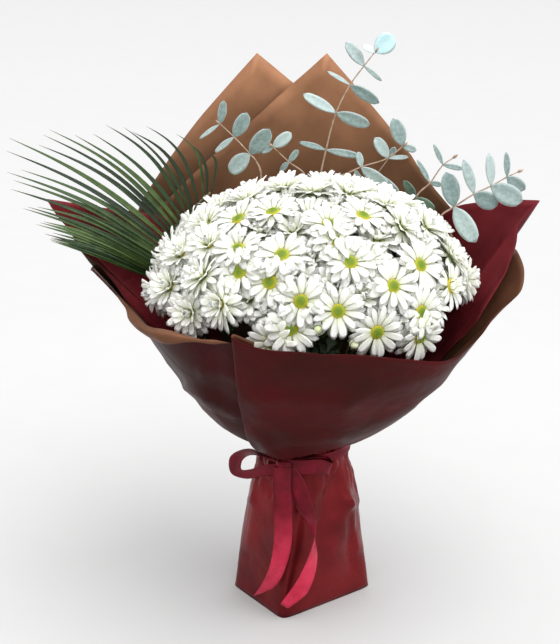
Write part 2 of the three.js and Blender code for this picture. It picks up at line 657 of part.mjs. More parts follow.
// The ribbon's four loose runs, as [pixel x, pixel y, depth, way its width lies] along the middle line.
// `cut` is how much shorter its first edge is than the other, as a share of the run.
const RIBBON_RUNS = [
  {
    name: 'left loop', steps: 14, cut: 0,
    path: [
      [285, 466, -52, [0.1, -0.8, 0.5]], [263, 455, -44, [0.1, -0.9, 0.2]],
      [248, 452, -30, [0.1, -0.95, 0.05]], [236, 459, -24, [0.7, -0.7, 0.1]],
      [236, 471, -26, [0.6, -0.6, 0.5]], [247, 474, -34, [0.3, -0.5, 0.8]],
      [262, 471, -46, [0.1, -0.4, 0.9]], [282, 469, -54, [0.1, -0.4, 0.9]],
    ],
  },
  {
    name: 'right loop', steps: 12, cut: 0,
    path: [
      [286, 467, -54, [0, -0.2, 1]], [303, 468, -62, [0.1, -0.1, 1]], [320, 467, -62, [0.1, -0.2, 1]],
      [331, 469, -56, [0.2, -0.4, 0.9]], [326, 464, -50, [0.2, -0.2, 1]], [308, 465, -52, [0.1, 0, 1]],
      [288, 467, -52, [0, 0, 1]],
    ],
  },
  {
    name: 'left tail', steps: 12, cut: 0.05,
    path: [
      [283, 466, -58, [1, 0, 0]], [282, 483, -65, [1, 0, 0]], [283, 508, -73, [1, 0, 0]],
      [283, 540, -79, [1, 0.1, 0]], [279, 563, -78, [1, 0.2, 0.1]], [271, 582, -70, [0.95, 0, 0.2]],
      [262, 594, -61, [0.9, -0.1, 0.3]],
    ],
  },
  {
    name: 'right tail', steps: 14, cut: -0.09,
    path: [
      [286, 466, -57, [0.9, 0, 0.4]], [296, 484, -63, [0.9, -0.1, 0.4]], [304, 505, -69, [0.9, -0.35, 0.3]],
      [311, 523, -72, [0.5, -0.8, 0.3]], [314, 536, -73, [0.05, -0.95, 0.35]],
      [312, 560, -76, [-0.6, -0.75, 0.2]], [304, 583, -79, [-0.9, -0.35, 0.3]],
      [288, 608, -79, [-0.86, 0, 0.5]],
    ],
  },
];
const KNOT_AT = V(-18, -52, 166.5);
const KNOT_REACH = [9, 7, 6.5];

// A strip of ribbon along its run. Its width turns smoothly from each way to the next.
function ribbonStrip({ path, steps, cut }) {
  const through = (points) => new THREE.CatmullRomCurve3(points, false, 'centripetal');
  const middles = through(path.map(([px, py, y]) => seenAt([px, py, y])));
  const ways = through(path.map((p) => V(...p[3])));
  const rows = Array.from({ length: steps + 1 }, (_, i) => [-1, 1].map((side) => {
    const t = (i / steps) * (1 - Math.max(cut * side, 0));
    const across = ways.getPoint(t).normalize();
    return middles.getPoint(t).addScaledVector(across, (side * RIBBON_WIDTH) / 2);
  }));
  return slab(rows, RIBBON_THICK);
}

function ribbonBow() {
  const turn = ring(RIBBON_RADIUS, RIBBON_RADIUS + RIBBON_THICK, RIBBON_TURN_HALF, RIBBON_Z);
  const knot = new THREE.SphereGeometry(1, 8, 6).scale(...KNOT_REACH).translate(...KNOT_AT.toArray());
  const solids = [turn, knot, ...RIBBON_RUNS.map(ribbonStrip)].map(toSolid);
  return namedMesh('ribbon_bow', toGeometry(join(solids)), LOOKS.ribbon());
}

// ---- The bunch ----------------------------------------------------------------------------------
const bunch = new THREE.Group();
bunch.name = 'bunch_of_daisies';
bunch.add(...daisySprays());
bunch.add(...SPRIGS.map(eucalyptusSprig));
bunch.add(palmFrond());
bunch.add(...SHEETS.map(sheetMesh));
bunch.add(footFilm(), bindingTie(), ribbonBow());

export default bunch;
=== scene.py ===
import math
import random
from functools import cache

import bpy
import numpy as np
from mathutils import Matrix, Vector, noise


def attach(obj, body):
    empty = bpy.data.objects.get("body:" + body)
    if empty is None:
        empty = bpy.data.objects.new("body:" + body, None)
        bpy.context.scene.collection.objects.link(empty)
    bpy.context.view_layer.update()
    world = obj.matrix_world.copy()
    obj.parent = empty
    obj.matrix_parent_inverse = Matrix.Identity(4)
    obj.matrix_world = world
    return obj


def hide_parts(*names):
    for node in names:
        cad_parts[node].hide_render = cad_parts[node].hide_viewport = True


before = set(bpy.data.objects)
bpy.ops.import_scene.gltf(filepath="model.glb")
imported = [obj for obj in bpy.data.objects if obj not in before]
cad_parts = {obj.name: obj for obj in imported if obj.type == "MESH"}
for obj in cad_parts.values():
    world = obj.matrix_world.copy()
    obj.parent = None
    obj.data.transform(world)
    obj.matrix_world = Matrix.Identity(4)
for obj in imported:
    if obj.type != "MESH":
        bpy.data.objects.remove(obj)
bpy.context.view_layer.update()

# The looks of a wrapped, hand-tied bunch of white daisies. Sizes are in millimetres unless a comment says
# metres, and MM turns them into metres when a mesh is made. +Z is up, -Y is the front, +X is the right.
MM = 0.001

# ---- Driving dimensions, as in the solid model ----
TIE_Z = 160
STEM_END_Z = 1.6
SPLAY = 1.3  # how much wider the stems spread at their cut ends than at the tie
SPIRAL = math.radians(38)
DOME_CENTRE = np.array((8.0, -14.0, 329.0))
DOME_REACH = np.array((150.0, 124.0, 106.0))
DOME_EDGE = math.radians(87)
HEAD_SPACING = 33
HEAD_TRIES = 700
SPRAY_COUNT = 15
SPRAY_BUNDLE_RADIUS = 19
FORK_FOCUS = np.array((6.0, -14.0, 205.0))
FORK_REACH = 0.6  # how far from the focus towards the dome a spray forks
GREENS_RING = 25.3
NECK_LOW_Z = 152
NECK_HIGH_Z = 177
FOOT_LONG = 59
FOOT_SHORT = 46
FOOT_TURN = math.radians(36.5)
FOOT_NECK_RADIUS = 45.6
FOOT_NECK_Z = 152
FOOT_TOP_Z = 175.4
RIBBON_WIDTH = 18
GOLDEN_ANGLE = math.pi * (3 - math.sqrt(5))

# The photograph's view: it looks down a little, and a pixel is a millimetre at the target.
PHOTO_MIDDLE = (280, 322)
PHOTO_HEIGHT = 644
VIEW_TARGET = np.array((-23.0, 5.0, 295.0))
VIEW_DISTANCE = 1500
VIEW_DOWN = math.radians(20)
EYE_WAY = np.array((0, -math.cos(VIEW_DOWN), math.sin(VIEW_DOWN)))
PICTURE_UP = np.array((0, math.sin(VIEW_DOWN), math.cos(VIEW_DOWN)))
UP = np.array((0.0, 0.0, 1.0))
rng = random.Random(11)


def vec(*numbers):
    return np.array(numbers, float)


def unit(a):
    return a / np.linalg.norm(a)


def mix(a, b, t):
    return a + (b - a) * t


def random_way():
    return vec(*(rng.uniform(-1, 1) for _ in range(3)))


def sightline(px, py):
    """The eye and the direction from it through a pixel of the photograph."""
    to_eye = VIEW_DISTANCE * EYE_WAY
    place = vec(px - PHOTO_MIDDLE[0], 0, 0) + PICTURE_UP * (PHOTO_MIDDLE[1] - py)
    return VIEW_TARGET + to_eye, unit(place - to_eye)


def seen_at(px, py, y):
    """The point that is seen at a pixel, at the depth y."""
    eye, way = sightline(px, py)
    return eye + way * (y - eye[1]) / way[1]


def pixel_of(point):
    """The pixel of the photograph at which a point is seen."""
    offset = point - VIEW_TARGET
    scale = VIEW_DISTANCE / (VIEW_DISTANCE - np.dot(offset, EYE_WAY))
    return PHOTO_MIDDLE[0] + offset[0] * scale, PHOTO_MIDDLE[1] - np.dot(offset, PICTURE_UP) * scale


# ---- Curves ----
def smooth(points, t):
    """A point of the smooth curve through the points, t from 0 to 1 (centripetal Catmull-Rom)."""
    last = len(points) - 1
    i = min(int(last * t), last - 1)
    w = last * t - i
    p1, p2 = points[i], points[i + 1]
    p0 = points[i - 1] if i > 0 else 2 * p1 - p2
    p3 = points[i + 2] if i + 2 <= last else 2 * p2 - p1
    steps = (p1 - p0, p2 - p1, p3 - p2)
    d0, d1, d2 = (max(float(np.dot(step, step)) ** 0.25, 1e-4) for step in steps)
    m1 = ((p1 - p0) / d0 - (p2 - p0) / (d0 + d1) + (p2 - p1) / d1) * d1
    m2 = ((p2 - p1) / d1 - (p3 - p1) / (d1 + d2) + (p3 - p2) / d2) * d1
    return p1 + w * m1 + w * w * (3 * (p2 - p1) - 2 * m1 - m2) + w**3 * (2 * (p1 - p2) + m1 + m2)


def smooth_run(points, count):
    points = [np.asarray(p, float) for p in points]
    return np.array([smooth(points, i / (count - 1)) for i in range(count)])


def cubic(a, b, c, d, t):
    s = 1 - t
    return a * s**3 + 3 * b * s * s * t + 3 * c * s * t * t + d * t**3


def turned(point, angle):
    c, s = math.cos(angle), math.sin(angle)
    return vec(point[0] * c - point[1] * s, point[0] * s + point[1] * c, point[2])


def around(degrees, radius, z):
    """A point of the plan: 0 degrees is the front, 90 the right."""
    angle = math.radians(degrees)
    return vec(radius * math.sin(angle), -radius * math.cos(angle), z)


def bundle_point(at_tie, z):
    """Where a stem is at height z between its cut end and the tie."""
    down = max(TIE_Z - z, 0) / TIE_Z
    place = turned(vec(at_tie[0], at_tie[1], 0), -SPIRAL * down) * (1 + (SPLAY - 1) * down)
    return vec(place[0], place[1], z)


def bundle_run(at_tie):
    """A stem's way from its cut end up to just above the tie."""
    return [bundle_point(at_tie, z) for z in (STEM_END_Z, TIE_Z / 2, TIE_Z, TIE_Z + 8)]


def basis(facing, roll):
    """Right, forward and facing directions of something that faces a way, turned by roll about it."""
    facing = unit(facing)
    side = unit(np.cross(facing, vec(0.31, 0.22, 0.93) if abs(facing[2]) < 0.9 else vec(0, 1, 0)))
    forward = np.cross(facing, side)
    right = side * math.cos(roll) + forward * math.sin(roll)
    return np.array((right, np.cross(facing, right), facing))


# ---- Meshes ----
class Build:
    """Gathers points, faces and the grain (along, across, tint) of the piece that stands for a node."""

    def __init__(self, node, looks):
        self.node, self.looks = node, looks
        self.points, self.grain, self.faces, self.slots, self.count = [], [], [], [], 0

    def add(self, points, faces, look, grain=(0, 0, 0.5)):
        """Adds points and faces, and returns the number of the first point."""
        points = np.asarray(points, float).reshape(-1, 3)
        self.points.append(points)
        self.grain.append(np.broadcast_to(np.asarray(grain, float), (len(points), 3)))
        start = self.count
        self.count += len(points)
        self.add_faces(faces, look, start)
        return start

    def add_faces(self, faces, look, start):
        """Adds faces whose corners are counted from the point start."""
        self.faces.extend([[i + start for i in face] for face in faces])
        self.slots.extend([self.looks.index(look)] * len(faces))

    def finish(self):
        mesh = bpy.data.meshes.new(f"{self.node}_visual")
        mesh.from_pydata(np.vstack(self.points) * MM, [], self.faces)
        for look in self.looks:
            mesh.materials.append(look)
        mesh.polygons.foreach_set("material_index", self.slots)
        mesh.polygons.foreach_set("use_smooth", [True] * len(self.slots))
        grain = mesh.attributes.new("grain", "FLOAT_VECTOR", "POINT")
        grain.data.foreach_set("vector", np.vstack(self.grain).ravel())
        mesh.validate()
        piece = bpy.data.objects.new(f"{self.node}_visual", mesh)
        bpy.context.scene.collection.objects.link(piece)
        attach(piece, "root")
        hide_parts(self.node)
        return piece


def grid_faces(rows, columns, closed=False):
    """Quads of a grid of points. A closed one joins its last column to its first."""
    faces = []
    for r in range(rows - 1):
        for c in range(columns if closed else columns - 1):
            n = (c + 1) % columns
            a, b = r * columns, (r + 1) * columns
            faces.append((a + c, a + n, b + n, b + c))
    return faces


def tube_faces(rows, columns):
    """Quads of rings of points, and a face that closes each end."""
    last = (rows - 1) * columns
    ends = [tuple(reversed(range(columns))), tuple(range(last, last + columns))]
    return grid_faces(rows, columns, closed=True) + ends


def grain_grid(rows, columns, left, tint):
    """The grain of a grid: along from 0 to 1, across from left to 1."""
    along, across = np.meshgrid(np.linspace(0, 1, rows), np.linspace(left, 1, columns), indexing="ij")
    return np.stack((along, across, np.full_like(along, tint)), axis=2)


def grid_normals(grid):
    along = np.gradient(grid, axis=0)
    across = np.gradient(grid, axis=1)
    normals = np.cross(across, along)
    return normals / np.maximum(np.linalg.norm(normals, axis=2, keepdims=True), 1e-9)


@cache
def thin_faces(rows, columns):
    """Faces of a thin closed solid. Its lower side shares the border of the grid, its upper side."""
    upper = grid_faces(rows, columns)
    lower_id = np.arange(rows * columns).reshape(rows, columns)
    inside = lower_id[1:-1, 1:-1]
    inside[:] = rows * columns + np.arange(inside.size).reshape(inside.shape)
    lower_id = lower_id.ravel().tolist()
    return upper, [tuple(lower_id[i] for i in reversed(face)) for face in upper]


def add_thin(build, grid, thickness, look, under=None, tint=0.5):
    """Adds a thin closed leaf or petal, given as a grid from base to tip (rows) and side to side."""
    rows, columns = grid.shape[:2]
    below = (grid - grid_normals(grid) * thickness)[1:-1, 1:-1]
    grain = grain_grid(rows, columns, -1, tint)
    points = np.vstack((grid.reshape(-1, 3), below.reshape(-1, 3)))
    grains = np.vstack((grain.reshape(-1, 3), grain[1:-1, 1:-1].reshape(-1, 3)))
    upper, lower = thin_faces(rows, columns)
    start = build.add(points, upper, look, grains)
    build.add_faces(lower, under or look, start)


def add_slab(build, grid, thickness, front, back):
    """Adds a thin closed sheet with its own look on each side and a narrow edge all round."""
    rows, columns = grid.shape[:2]
    half = grid_normals(grid) * thickness / 2
    grain = grain_grid(rows, columns, 0, 0.5).reshape(-1, 3)
    count = rows * columns
    # Triangles with the same diagonal on both sides, so that a twisted place never pokes through.
    upper = [face for a, b, c, d in grid_faces(rows, columns) for face in ((a, b, c), (a, c, d))]
    lower = [tuple(count + i for i in reversed(face)) for face in upper]
    ids = np.arange(count).reshape(rows, columns)
    border = np.concatenate((ids[0], ids[1:, -1], ids[-1, -2::-1], ids[-2:0:-1, 0])).tolist()
    edge = [(b, a, count + a, count + b) for a, b in zip(border, border[1:] + border[:1])]
    start = build.add(np.stack((grid + half, grid - half)), upper + edge, front, np.vstack((grain, grain)))
    build.add_faces(lower, back, start)


def add_tube(build, points, radii, sides, look, tint=0.5):
    """Adds a round tube along points, with a radius at each and closed ends."""
    points = np.asarray(points, float)
    ways = np.gradient(points, axis=0)
    ways /= np.linalg.norm(ways, axis=1, keepdims=True)
    side = unit(np.cross(ways[0], vec(0.3, 0.9, 0.1)))
    turns = np.linspace(0, 2 * math.pi, sides, endpoint=False)
    rings = []
    for point, way, radius in zip(points, ways, radii):
        side = unit(side - way * np.dot(side, way))
        circle = np.outer(np.cos(turns), side) + np.outer(np.sin(turns), np.cross(way, side))
        rings.append(point + radius * circle)
    length = np.repeat(np.linspace(0, 1, len(points)), sides)
    grain = np.stack((length, np.zeros_like(length), np.full_like(length, tint)), axis=1)
    build.add(np.vstack(rings), tube_faces(len(points), sides), look, grain)


def add_stalk(build, path, count, radii, sides, look, tint):
    """Adds a tube along the smooth curve through the path. Its radius changes evenly from end to end."""
    add_tube(build, smooth_run(path, count), np.linspace(*radii, count), sides, look, tint)


def add_lathe(build, place, axes, profile, sides, look, tint=0.5):
    """Adds a turned solid: profile is (radius, height) pairs, closed at both ends."""
    widest = max(radius for radius, _ in profile)
    points, grain = [], []
    for radius, height in profile:
        for turn in np.linspace(0, 2 * math.pi, sides, endpoint=False):
            points.append(place + vec(radius * math.cos(turn), radius * math.sin(turn), height) @ axes)
            grain.append((radius / widest, 0, tint))
    build.add(points, tube_faces(len(profile), sides), look, grain)


# ---- Materials ----
class Nodes:
    """A shader's node tree under construction."""

    def __init__(self, tree):
        self.nodes, self.links = tree.nodes, tree.links

    def plug(self, value, socket):
        """Gives a socket its value, which is a number, a colour or another node's output."""
        if isinstance(value, bpy.types.NodeSocket):
            self.links.new(value, socket)
        else:
            socket.default_value = value

    def math(self, kind, a, b=0.0, c=0.0):
        node = self.nodes.new("ShaderNodeMath")
        node.operation = kind
        for value, socket in zip((a, b, c), node.inputs):
            self.plug(value, socket)
        return node.outputs[0]

    def plus(self, a, b):
        return self.math("ADD", a, b)

    def times(self, a, b):
        return self.math("MULTIPLY", a, b)

    def parts(self, vector):
        """The x, y and z of a vector."""
        split = self.nodes.new("ShaderNodeSeparateXYZ")
        self.links.new(vector, split.inputs[0])
        return split.outputs


def srgb(red, green, blue):
    """A linear colour from a picture's 0 to 255 values."""
    return tuple(((c / 255 + 0.055) / 1.055) ** 2.4 for c in (red, green, blue)) + (1,)


BLACK, WHITE = (0, 0, 0, 1), (1, 1, 1, 1)
NOISE_ROUGHNESS = 0.55


class Look(Nodes):
    """A Principled material under construction."""

    def __init__(self, name, **sockets):
        self.material = bpy.data.materials.new(name)
        self.material.use_nodes = True
        super().__init__(self.material.node_tree)
        self.shader = self.nodes["Principled BSDF"]
        for socket, value in sockets.items():
            self.shader.inputs[socket.replace("_", " ")].default_value = value
        self.where = self.nodes.new("ShaderNodeTexCoord").outputs["Object"]
        grain = self.nodes.new("ShaderNodeAttribute")
        grain.attribute_name = "grain"
        self.along, self.across, self.tint = self.parts(grain.outputs["Vector"])

    def noise(self, size, detail=3.0):
        """Noise from 0 to 1 whose features are about `size` millimetres."""
        texture = self.nodes.new("ShaderNodeTexNoise")
        self.links.new(self.where, texture.inputs["Vector"])
        texture.inputs["Scale"].default_value = 1 / (size * MM)
        texture.inputs["Detail"].default_value = detail
        texture.inputs["Roughness"].default_value = NOISE_ROUGHNESS
        return texture.outputs["Fac"]

    def mottle(self, size, detail, share, tint_share):
        """Noise and the tint of the leaf or stem, each with its share."""
        return self.plus(self.times(self.noise(size, detail), share), self.times(self.tint, tint_share))

    def waves(self, value, rate):
        return self.math("SINE", self.times(value, rate))

    def climb(self, low, high):
        """0 at the height low, in millimetres, and 1 at the height high."""
        height = self.parts(self.where)[2]
        return self.math("MULTIPLY_ADD", height, 1 / ((high - low) * MM), -low / (high - low))

    def ramp(self, value, *stops):
        """Colours by value: stops are (position, colour)."""
        node = self.nodes.new("ShaderNodeValToRGB")
        self.links.new(value, node.inputs[0])
        ramp = node.color_ramp
        while len(ramp.elements) < len(stops):
            ramp.elements.new(0.5)
        for element, (position, colour) in zip(ramp.elements, stops):
            element.position = position
            element.color = colour
        return node.outputs[0]

    def grey(self, value, low=0.0):
        """Black where the value is low, and white where it is 1."""
        return self.ramp(value, (low, BLACK), (1.0, WHITE))

    def blend(self, share, a, b, kind="MIX"):
        node = self.nodes.new("ShaderNodeMix")
        node.data_type, node.blend_type = "RGBA", kind
        for value, socket in ((share, node.inputs[0]), (a, node.inputs[6]), (b, node.inputs[7])):
            self.plug(value, socket)
        return node.outputs[2]

    def bump(self, height, strength, distance):
        """Adds a bump to those before it. Its distance is in millimetres."""
        node = self.nodes.new("ShaderNodeBump")
        node.inputs["Strength"].default_value = strength
        node.inputs["Distance"].default_value = distance * MM
        self.links.new(height, node.inputs["Height"])
        normal = self.shader.inputs["Normal"]
        if normal.is_linked:
            self.links.new(normal.links[0].from_socket, node.inputs["Normal"])
        self.links.new(node.outputs[0], normal)

    def colour(self, value):
        self.plug(value, self.shader.inputs["Base Color"])

    def roughness(self, value, low, high):
        self.plug(self.math("MULTIPLY_ADD", value, high - low, low), self.shader.inputs["Roughness"])


def petal_look():
    look = Look("petal", Subsurface_Weight=0.6, Subsurface_Scale=0.008,
                Subsurface_Radius=(1.0, 1.0, 0.8), Specular_IOR_Level=0.3)
    blush = look.ramp(look.along, (0.0, srgb(220, 230, 158)), (0.3, srgb(247, 250, 226)),
                      (0.75, srgb(253, 254, 246)))
    shade = look.grey(look.math("MULTIPLY_ADD", look.noise(6, 4), 0.06, 0.96))
    look.colour(look.blend(1.0, blush, shade, "MULTIPLY"))
    veins = look.waves(look.across, 16)
    look.bump(look.plus(look.times(veins, 0.5), look.noise(1.6, 2)), 0.35, 0.25)
    look.roughness(look.noise(5), 0.45, 0.7)
    return look.material


def disc_look():
    look = Look("disc", Subsurface_Weight=0.1, Subsurface_Scale=0.001)
    shade = look.ramp(look.along, (0.0, srgb(78, 106, 6)), (0.5, srgb(104, 130, 4)),
                      (0.74, srgb(140, 150, 6)), (0.92, srgb(202, 172, 12)), (1.0, srgb(186, 156, 16)))
    look.colour(look.blend(look.times(look.noise(1.5), 0.5), shade, srgb(128, 144, 14)))
    look.bump(look.noise(0.7, 2), 0.6, 0.3)
    look.roughness(look.noise(2), 0.5, 0.8)
    return look.material


def green_look(name, dark, light, size=9):
    """Stems, calyxes, buds and the daisies' leaves, with fine ribs along them."""
    look = Look(name, Specular_IOR_Level=0.4)
    look.colour(look.ramp(look.mottle(size, 4, 0.7, 0.4), (0.25, dark), (0.8, light)))
    ribs = look.waves(look.across, 9)
    look.bump(look.plus(look.times(ribs, 0.4), look.noise(1.5, 3)), 0.5, 0.3)
    look.roughness(look.noise(4), 0.4, 0.65)
    return look.material


def eucalyptus_look(name, dark, light, rim):
    """A dull, waxy leaf with a paler edge and a midrib."""
    look = Look(name, Specular_IOR_Level=0.3, Sheen_Weight=0.15)
    body = look.ramp(look.mottle(3.2, 5, 0.6, 0.5), (0.3, dark), (0.75, light))
    aside = look.math("ABSOLUTE", look.across)
    look.colour(look.blend(look.math("POWER", aside, 9), body, rim))
    midrib = look.math("POWER", look.math("SUBTRACT", 1.0, aside), 12)
    look.bump(look.plus(midrib, look.noise(1.2, 3)), 0.35, 0.3)
    look.roughness(look.noise(4), 0.55, 0.8)
    return look.material


def fibre_look(name, dark, light, sizes, bump, rough):
    """Bark or raffia. The sizes are those of the noise in its colour, its bump and its roughness."""
    look = Look(name)
    look.colour(look.ramp(look.noise(sizes[0], 4), (0.3, dark), (0.7, light)))
    look.bump(look.noise(sizes[1], 3), *bump)
    look.roughness(look.noise(sizes[2]), *rough)
    return look.material


def palm_look():
    look = Look("palm_leaflet", Specular_IOR_Level=0.5)
    body = look.ramp(look.mottle(12, 4, 0.5, 0.55), (0.3, srgb(22, 42, 16)), (0.55, srgb(40, 66, 26)),
                     (0.8, srgb(76, 100, 48)))
    look.colour(look.blend(look.grey(look.along, 0.9), body, srgb(104, 92, 58)))
    look.bump(look.waves(look.across, 22), 0.4, 0.15)
    look.roughness(look.noise(6), 0.32, 0.5)
    return look.material


PAINTED_SHADE_OLIVE = srgb(74, 80, 73)


def film_look(name, dark, light, roughness, metallic, gloss, crease=1.0, deep=None):
    """Wrapping film: a smooth colour with faint clouding, fine wrinkles and pressed marks. It can carry
    painted shade: darker and more olive from the second of the two heights `deep` down to the first."""
    look = Look(name, Metallic=metallic, Specular_IOR_Level=gloss)
    body = look.ramp(look.noise(60, 4), (0.3, dark), (0.7, light))
    # Painted shade: the colour is multiplied by olive at and below the lower height, fading out at the
    # upper one.
    if deep:
        body = look.blend(1.0, body, look.ramp(look.climb(*deep), (0.0, PAINTED_SHADE_OLIVE), (1.0, WHITE)), "MULTIPLY")
    look.colour(body)
    marks = look.math("ABSOLUTE", look.math("SUBTRACT", look.noise(42, 2), 0.5))
    look.bump(look.math("MINIMUM", look.times(marks, 9), 1.0), 0.35 * crease, 0.7)
    look.bump(look.noise(9, 5), 0.22 * crease, 0.5)
    look.bump(look.noise(0.5, 2), 0.12, 0.06)
    look.roughness(look.noise(20, 4), roughness - 0.06, roughness + 0.1)
    return look.material


def ribbon_look():
    """Satin, with a painted highlight where its tails hang low and painted shade from the knot up."""
    look = Look("satin", Metallic=0.35, Specular_IOR_Level=0.2, Sheen_Weight=0.08, Sheen_Roughness=0.35,
                Sheen_Tint=srgb(235, 90, 120))
    # Painted light: a dark colour for painted shade above and a bright one for a painted highlight below,
    # blended by height.
    above = look.ramp(look.noise(16, 3), (0.3, srgb(82, 8, 20)), (0.7, srgb(118, 16, 34)))
    below = look.ramp(look.noise(16, 3), (0.3, srgb(178, 36, 62)), (0.7, srgb(208, 56, 84)))
    look.colour(look.blend(look.grey(look.climb(*RIBBON_SHADE_AND_HIGHLIGHT_HEIGHTS)), below, above))
    thread = look.waves(look.along, 1500)
    look.bump(look.plus(look.times(thread, 0.3), look.noise(0.6, 2)), 0.15, 0.08)
    look.bump(look.noise(7, 3), 0.25, 0.5)
    look.roughness(look.noise(9), 0.3, 0.48)
    return look.material


FLOOR_FADE = 5  # metres from the bunch to where its faint soft shadow has quite gone
# Heights between which a colour changes, in place of the photograph's light.
BRONZE_SHADE_HEIGHTS = (345, 495)
RIBBON_SHADE_AND_HIGHLIGHT_HEIGHTS = (70, 128)


def floor_look():
    """A pale floor, a little darker far away, where the bunch keeps no light off it."""
    look = Look("floor", Specular_IOR_Level=0.0, Roughness=0.9)
    away = look.nodes.new("ShaderNodeVectorMath")
    away.operation = "LENGTH"
    look.links.new(look.where, away.inputs[0])
    near, middle, far = (srgb(grey, grey, grey) for grey in (181, 175, 167))
    spread = look.times(away.outputs["Value"], 1 / FLOOR_FADE)
    plain = look.ramp(spread, (0.05, near), (0.2, middle), (1.0, far))
    look.colour(look.blend(look.times(look.noise(60, 2), 0.03), plain, BLACK))
    return look.material


PETAL = petal_look()
DISC = disc_look()
BUD = green_look("daisy_bud", srgb(196, 206, 150), srgb(240, 244, 214), 3)
STEM = green_look("daisy_stem", srgb(52, 78, 30), srgb(104, 134, 62))
FOLIAGE = green_look("daisy_leaf", srgb(18, 34, 16), srgb(52, 78, 38))
GUM_FACE = eucalyptus_look("eucalyptus_face", srgb(104, 124, 121), srgb(166, 182, 180),
                           srgb(188, 200, 198))
GUM_PALE = eucalyptus_look("eucalyptus_young", srgb(176, 208, 212), srgb(198, 226, 230),
                           srgb(212, 232, 234))
GUM_BACK = eucalyptus_look("eucalyptus_back", srgb(104, 122, 114), srgb(148, 165, 156),
                           srgb(180, 194, 188))
GUM_DARK = eucalyptus_look("eucalyptus_old", srgb(42, 62, 50), srgb(84, 106, 90),
                           srgb(120, 140, 126))
TWIG = fibre_look("twig", srgb(122, 98, 84), srgb(182, 160, 138), (5, 1.0, 3), (0.5, 0.2), (0.5, 0.75))
PALM = palm_look()
BURGUNDY = film_look("wrap_burgundy_face", srgb(52, 18, 15), srgb(76, 13, 17), 0.42, 0.2, 0.07)
# A darker copy of the burgundy film: painted shade on the left front sheet.
BURGUNDY_PAINTED_SHADE = film_look("wrap_burgundy_painted_shade", srgb(43, 16, 13), srgb(61, 14, 16), 0.42, 0.2, 0.07)
# A lighter copy of the burgundy film: painted light on the side sheets' faces.
BURGUNDY_PAINTED_LIGHT = film_look("wrap_burgundy_painted_light", srgb(84, 24, 29), srgb(112, 34, 41), 0.42, 0.15, 0.08)
# The bronze face carries painted shade, darker and more olive low down.
BRONZE = film_look("wrap_bronze_face", srgb(134, 94, 69), srgb(170, 122, 91), 0.45, 0.2, 0.1, 0.6,
                   deep=BRONZE_SHADE_HEIGHTS)
# A darker copy of the bronze film: painted shade on the front sheets' inner faces.
BRONZE_PAINTED_SHADE = film_look("wrap_bronze_painted_shade", srgb(84, 54, 40), srgb(108, 72, 52), 0.45, 0.2, 0.08, 0.6)
FOOT_FACE = film_look("foot_film_face", srgb(84, 23, 26), srgb(128, 36, 39), 0.28, 0.6, 0.12)
SATIN = ribbon_look()
CORD = fibre_look("raffia", srgb(112, 92, 58), srgb(176, 152, 104), (2, 0.8, 2), (0.6, 0.3), (0.7, 0.9))


# ---- Daisies ----
# Pixels of the discs that face the front, from the left to the right.
DISCS = (
    (239, 219), (238, 249), (240, 272), (273, 212), (270, 282), (282, 255), (273, 342), (291, 329),
    (301, 301), (329, 224), (335, 240), (350, 262), (338, 311), (363, 216), (377, 332), (393, 286),
    (420, 265), (421, 312), (420, 337), (451, 286),
)
# Rings of petals: count, length, width, lift at the base and the tip in degrees, start radius, height.
OPEN_RINGS = (
    (11, 21.0, 7.8, -16, -34, 5.8, -2.6),
    (14, 22.5, 8.0, 8, -12, 5.6, -1.2),
    (12, 20.5, 7.6, 25, -2, 5.0, -0.2),
)
FULL_RINGS = (
    (11, 21.5, 7.8, -14, -30, 5.6, -2.4),
    (14, 22.0, 8.0, 10, -8, 5.4, -1.2),
    (13, 20.0, 7.6, 34, 12, 4.2, 0.0),
    (10, 16.5, 6.8, 58, 44, 3.0, 1.2),
    (8, 12.0, 5.8, 78, 104, 1.6, 2.0),
)
HALF_RINGS = (
    (9, 22.0, 7.2, -20, -42, 5.6, -2.0),
    (12, 21.0, 7.0, 14, -16, 5.2, -1.0),
    (9, 8.0, 4.4, 62, 88, 4.6, 0.6),
)
NO_RINGS = ()  # a closed bud
PETAL_THICK = 0.45
STEM_RADII = (2.3, 1.9)
BRANCH_RADII = (1.3, 1.5)
CALYX_DEPTH = 8  # from the middle of a head down to the end of its branch
HALF_OPEN = DISCS[-1]
BUDS = ((326, 322), (318, 329), (334, 331), (354, 344))  # pixels of the closed buds
# Profiles of the turned solids: radius, height.
DISC_PROFILE = ((8.2, -1.2), (8.0, 0.4), (6.9, 1.7), (4.6, 2.7), (2.2, 3.2), (0.4, 3.35))
BUD_PROFILE = ((2.0, -4.6), (3.9, -2.6), (4.7, 0.0), (4.2, 2.6), (2.4, 4.6), (0.3, 5.3))
CALYX_PROFILE = ((1.5, -9.5), (3.2, -7.6), (6.4, -4.4), (8.2, -2.0), (8.4, -1.0))
FLORETS = 52
FLORET_SIDES = 5
FLORETS_REACH = 7.9
FLORETS_HEIGHT = 3.3
FLORETS_DROP = 3.2
LEAF_THICK = 0.5


def dome_spot(way):
    return way * DOME_REACH + DOME_CENTRE, unit(way / DOME_REACH)


def dome_seen(px, py):
    """The place on the dome that is seen at a pixel."""
    eye, way = sightline(px, py)
    start, line = (eye - DOME_CENTRE) / DOME_REACH, unit(way / DOME_REACH)
    middle = np.dot(start, line)
    return dome_spot(start + line * (-middle - math.sqrt(middle**2 - np.dot(start, start) + 1)))


def even_spot(i, count):
    height = 1 - ((i + 0.5) / count) * (1 - math.cos(DOME_EDGE))
    level, bearing = math.sqrt(1 - height**2), i * GOLDEN_ANGLE
    return dome_spot(vec(level * math.sin(bearing), -level * math.cos(bearing), height))


LOWER_HEADS = 11  # how much lower than the others the heads sit that fill the gaps
LOWER_SPACING = 24


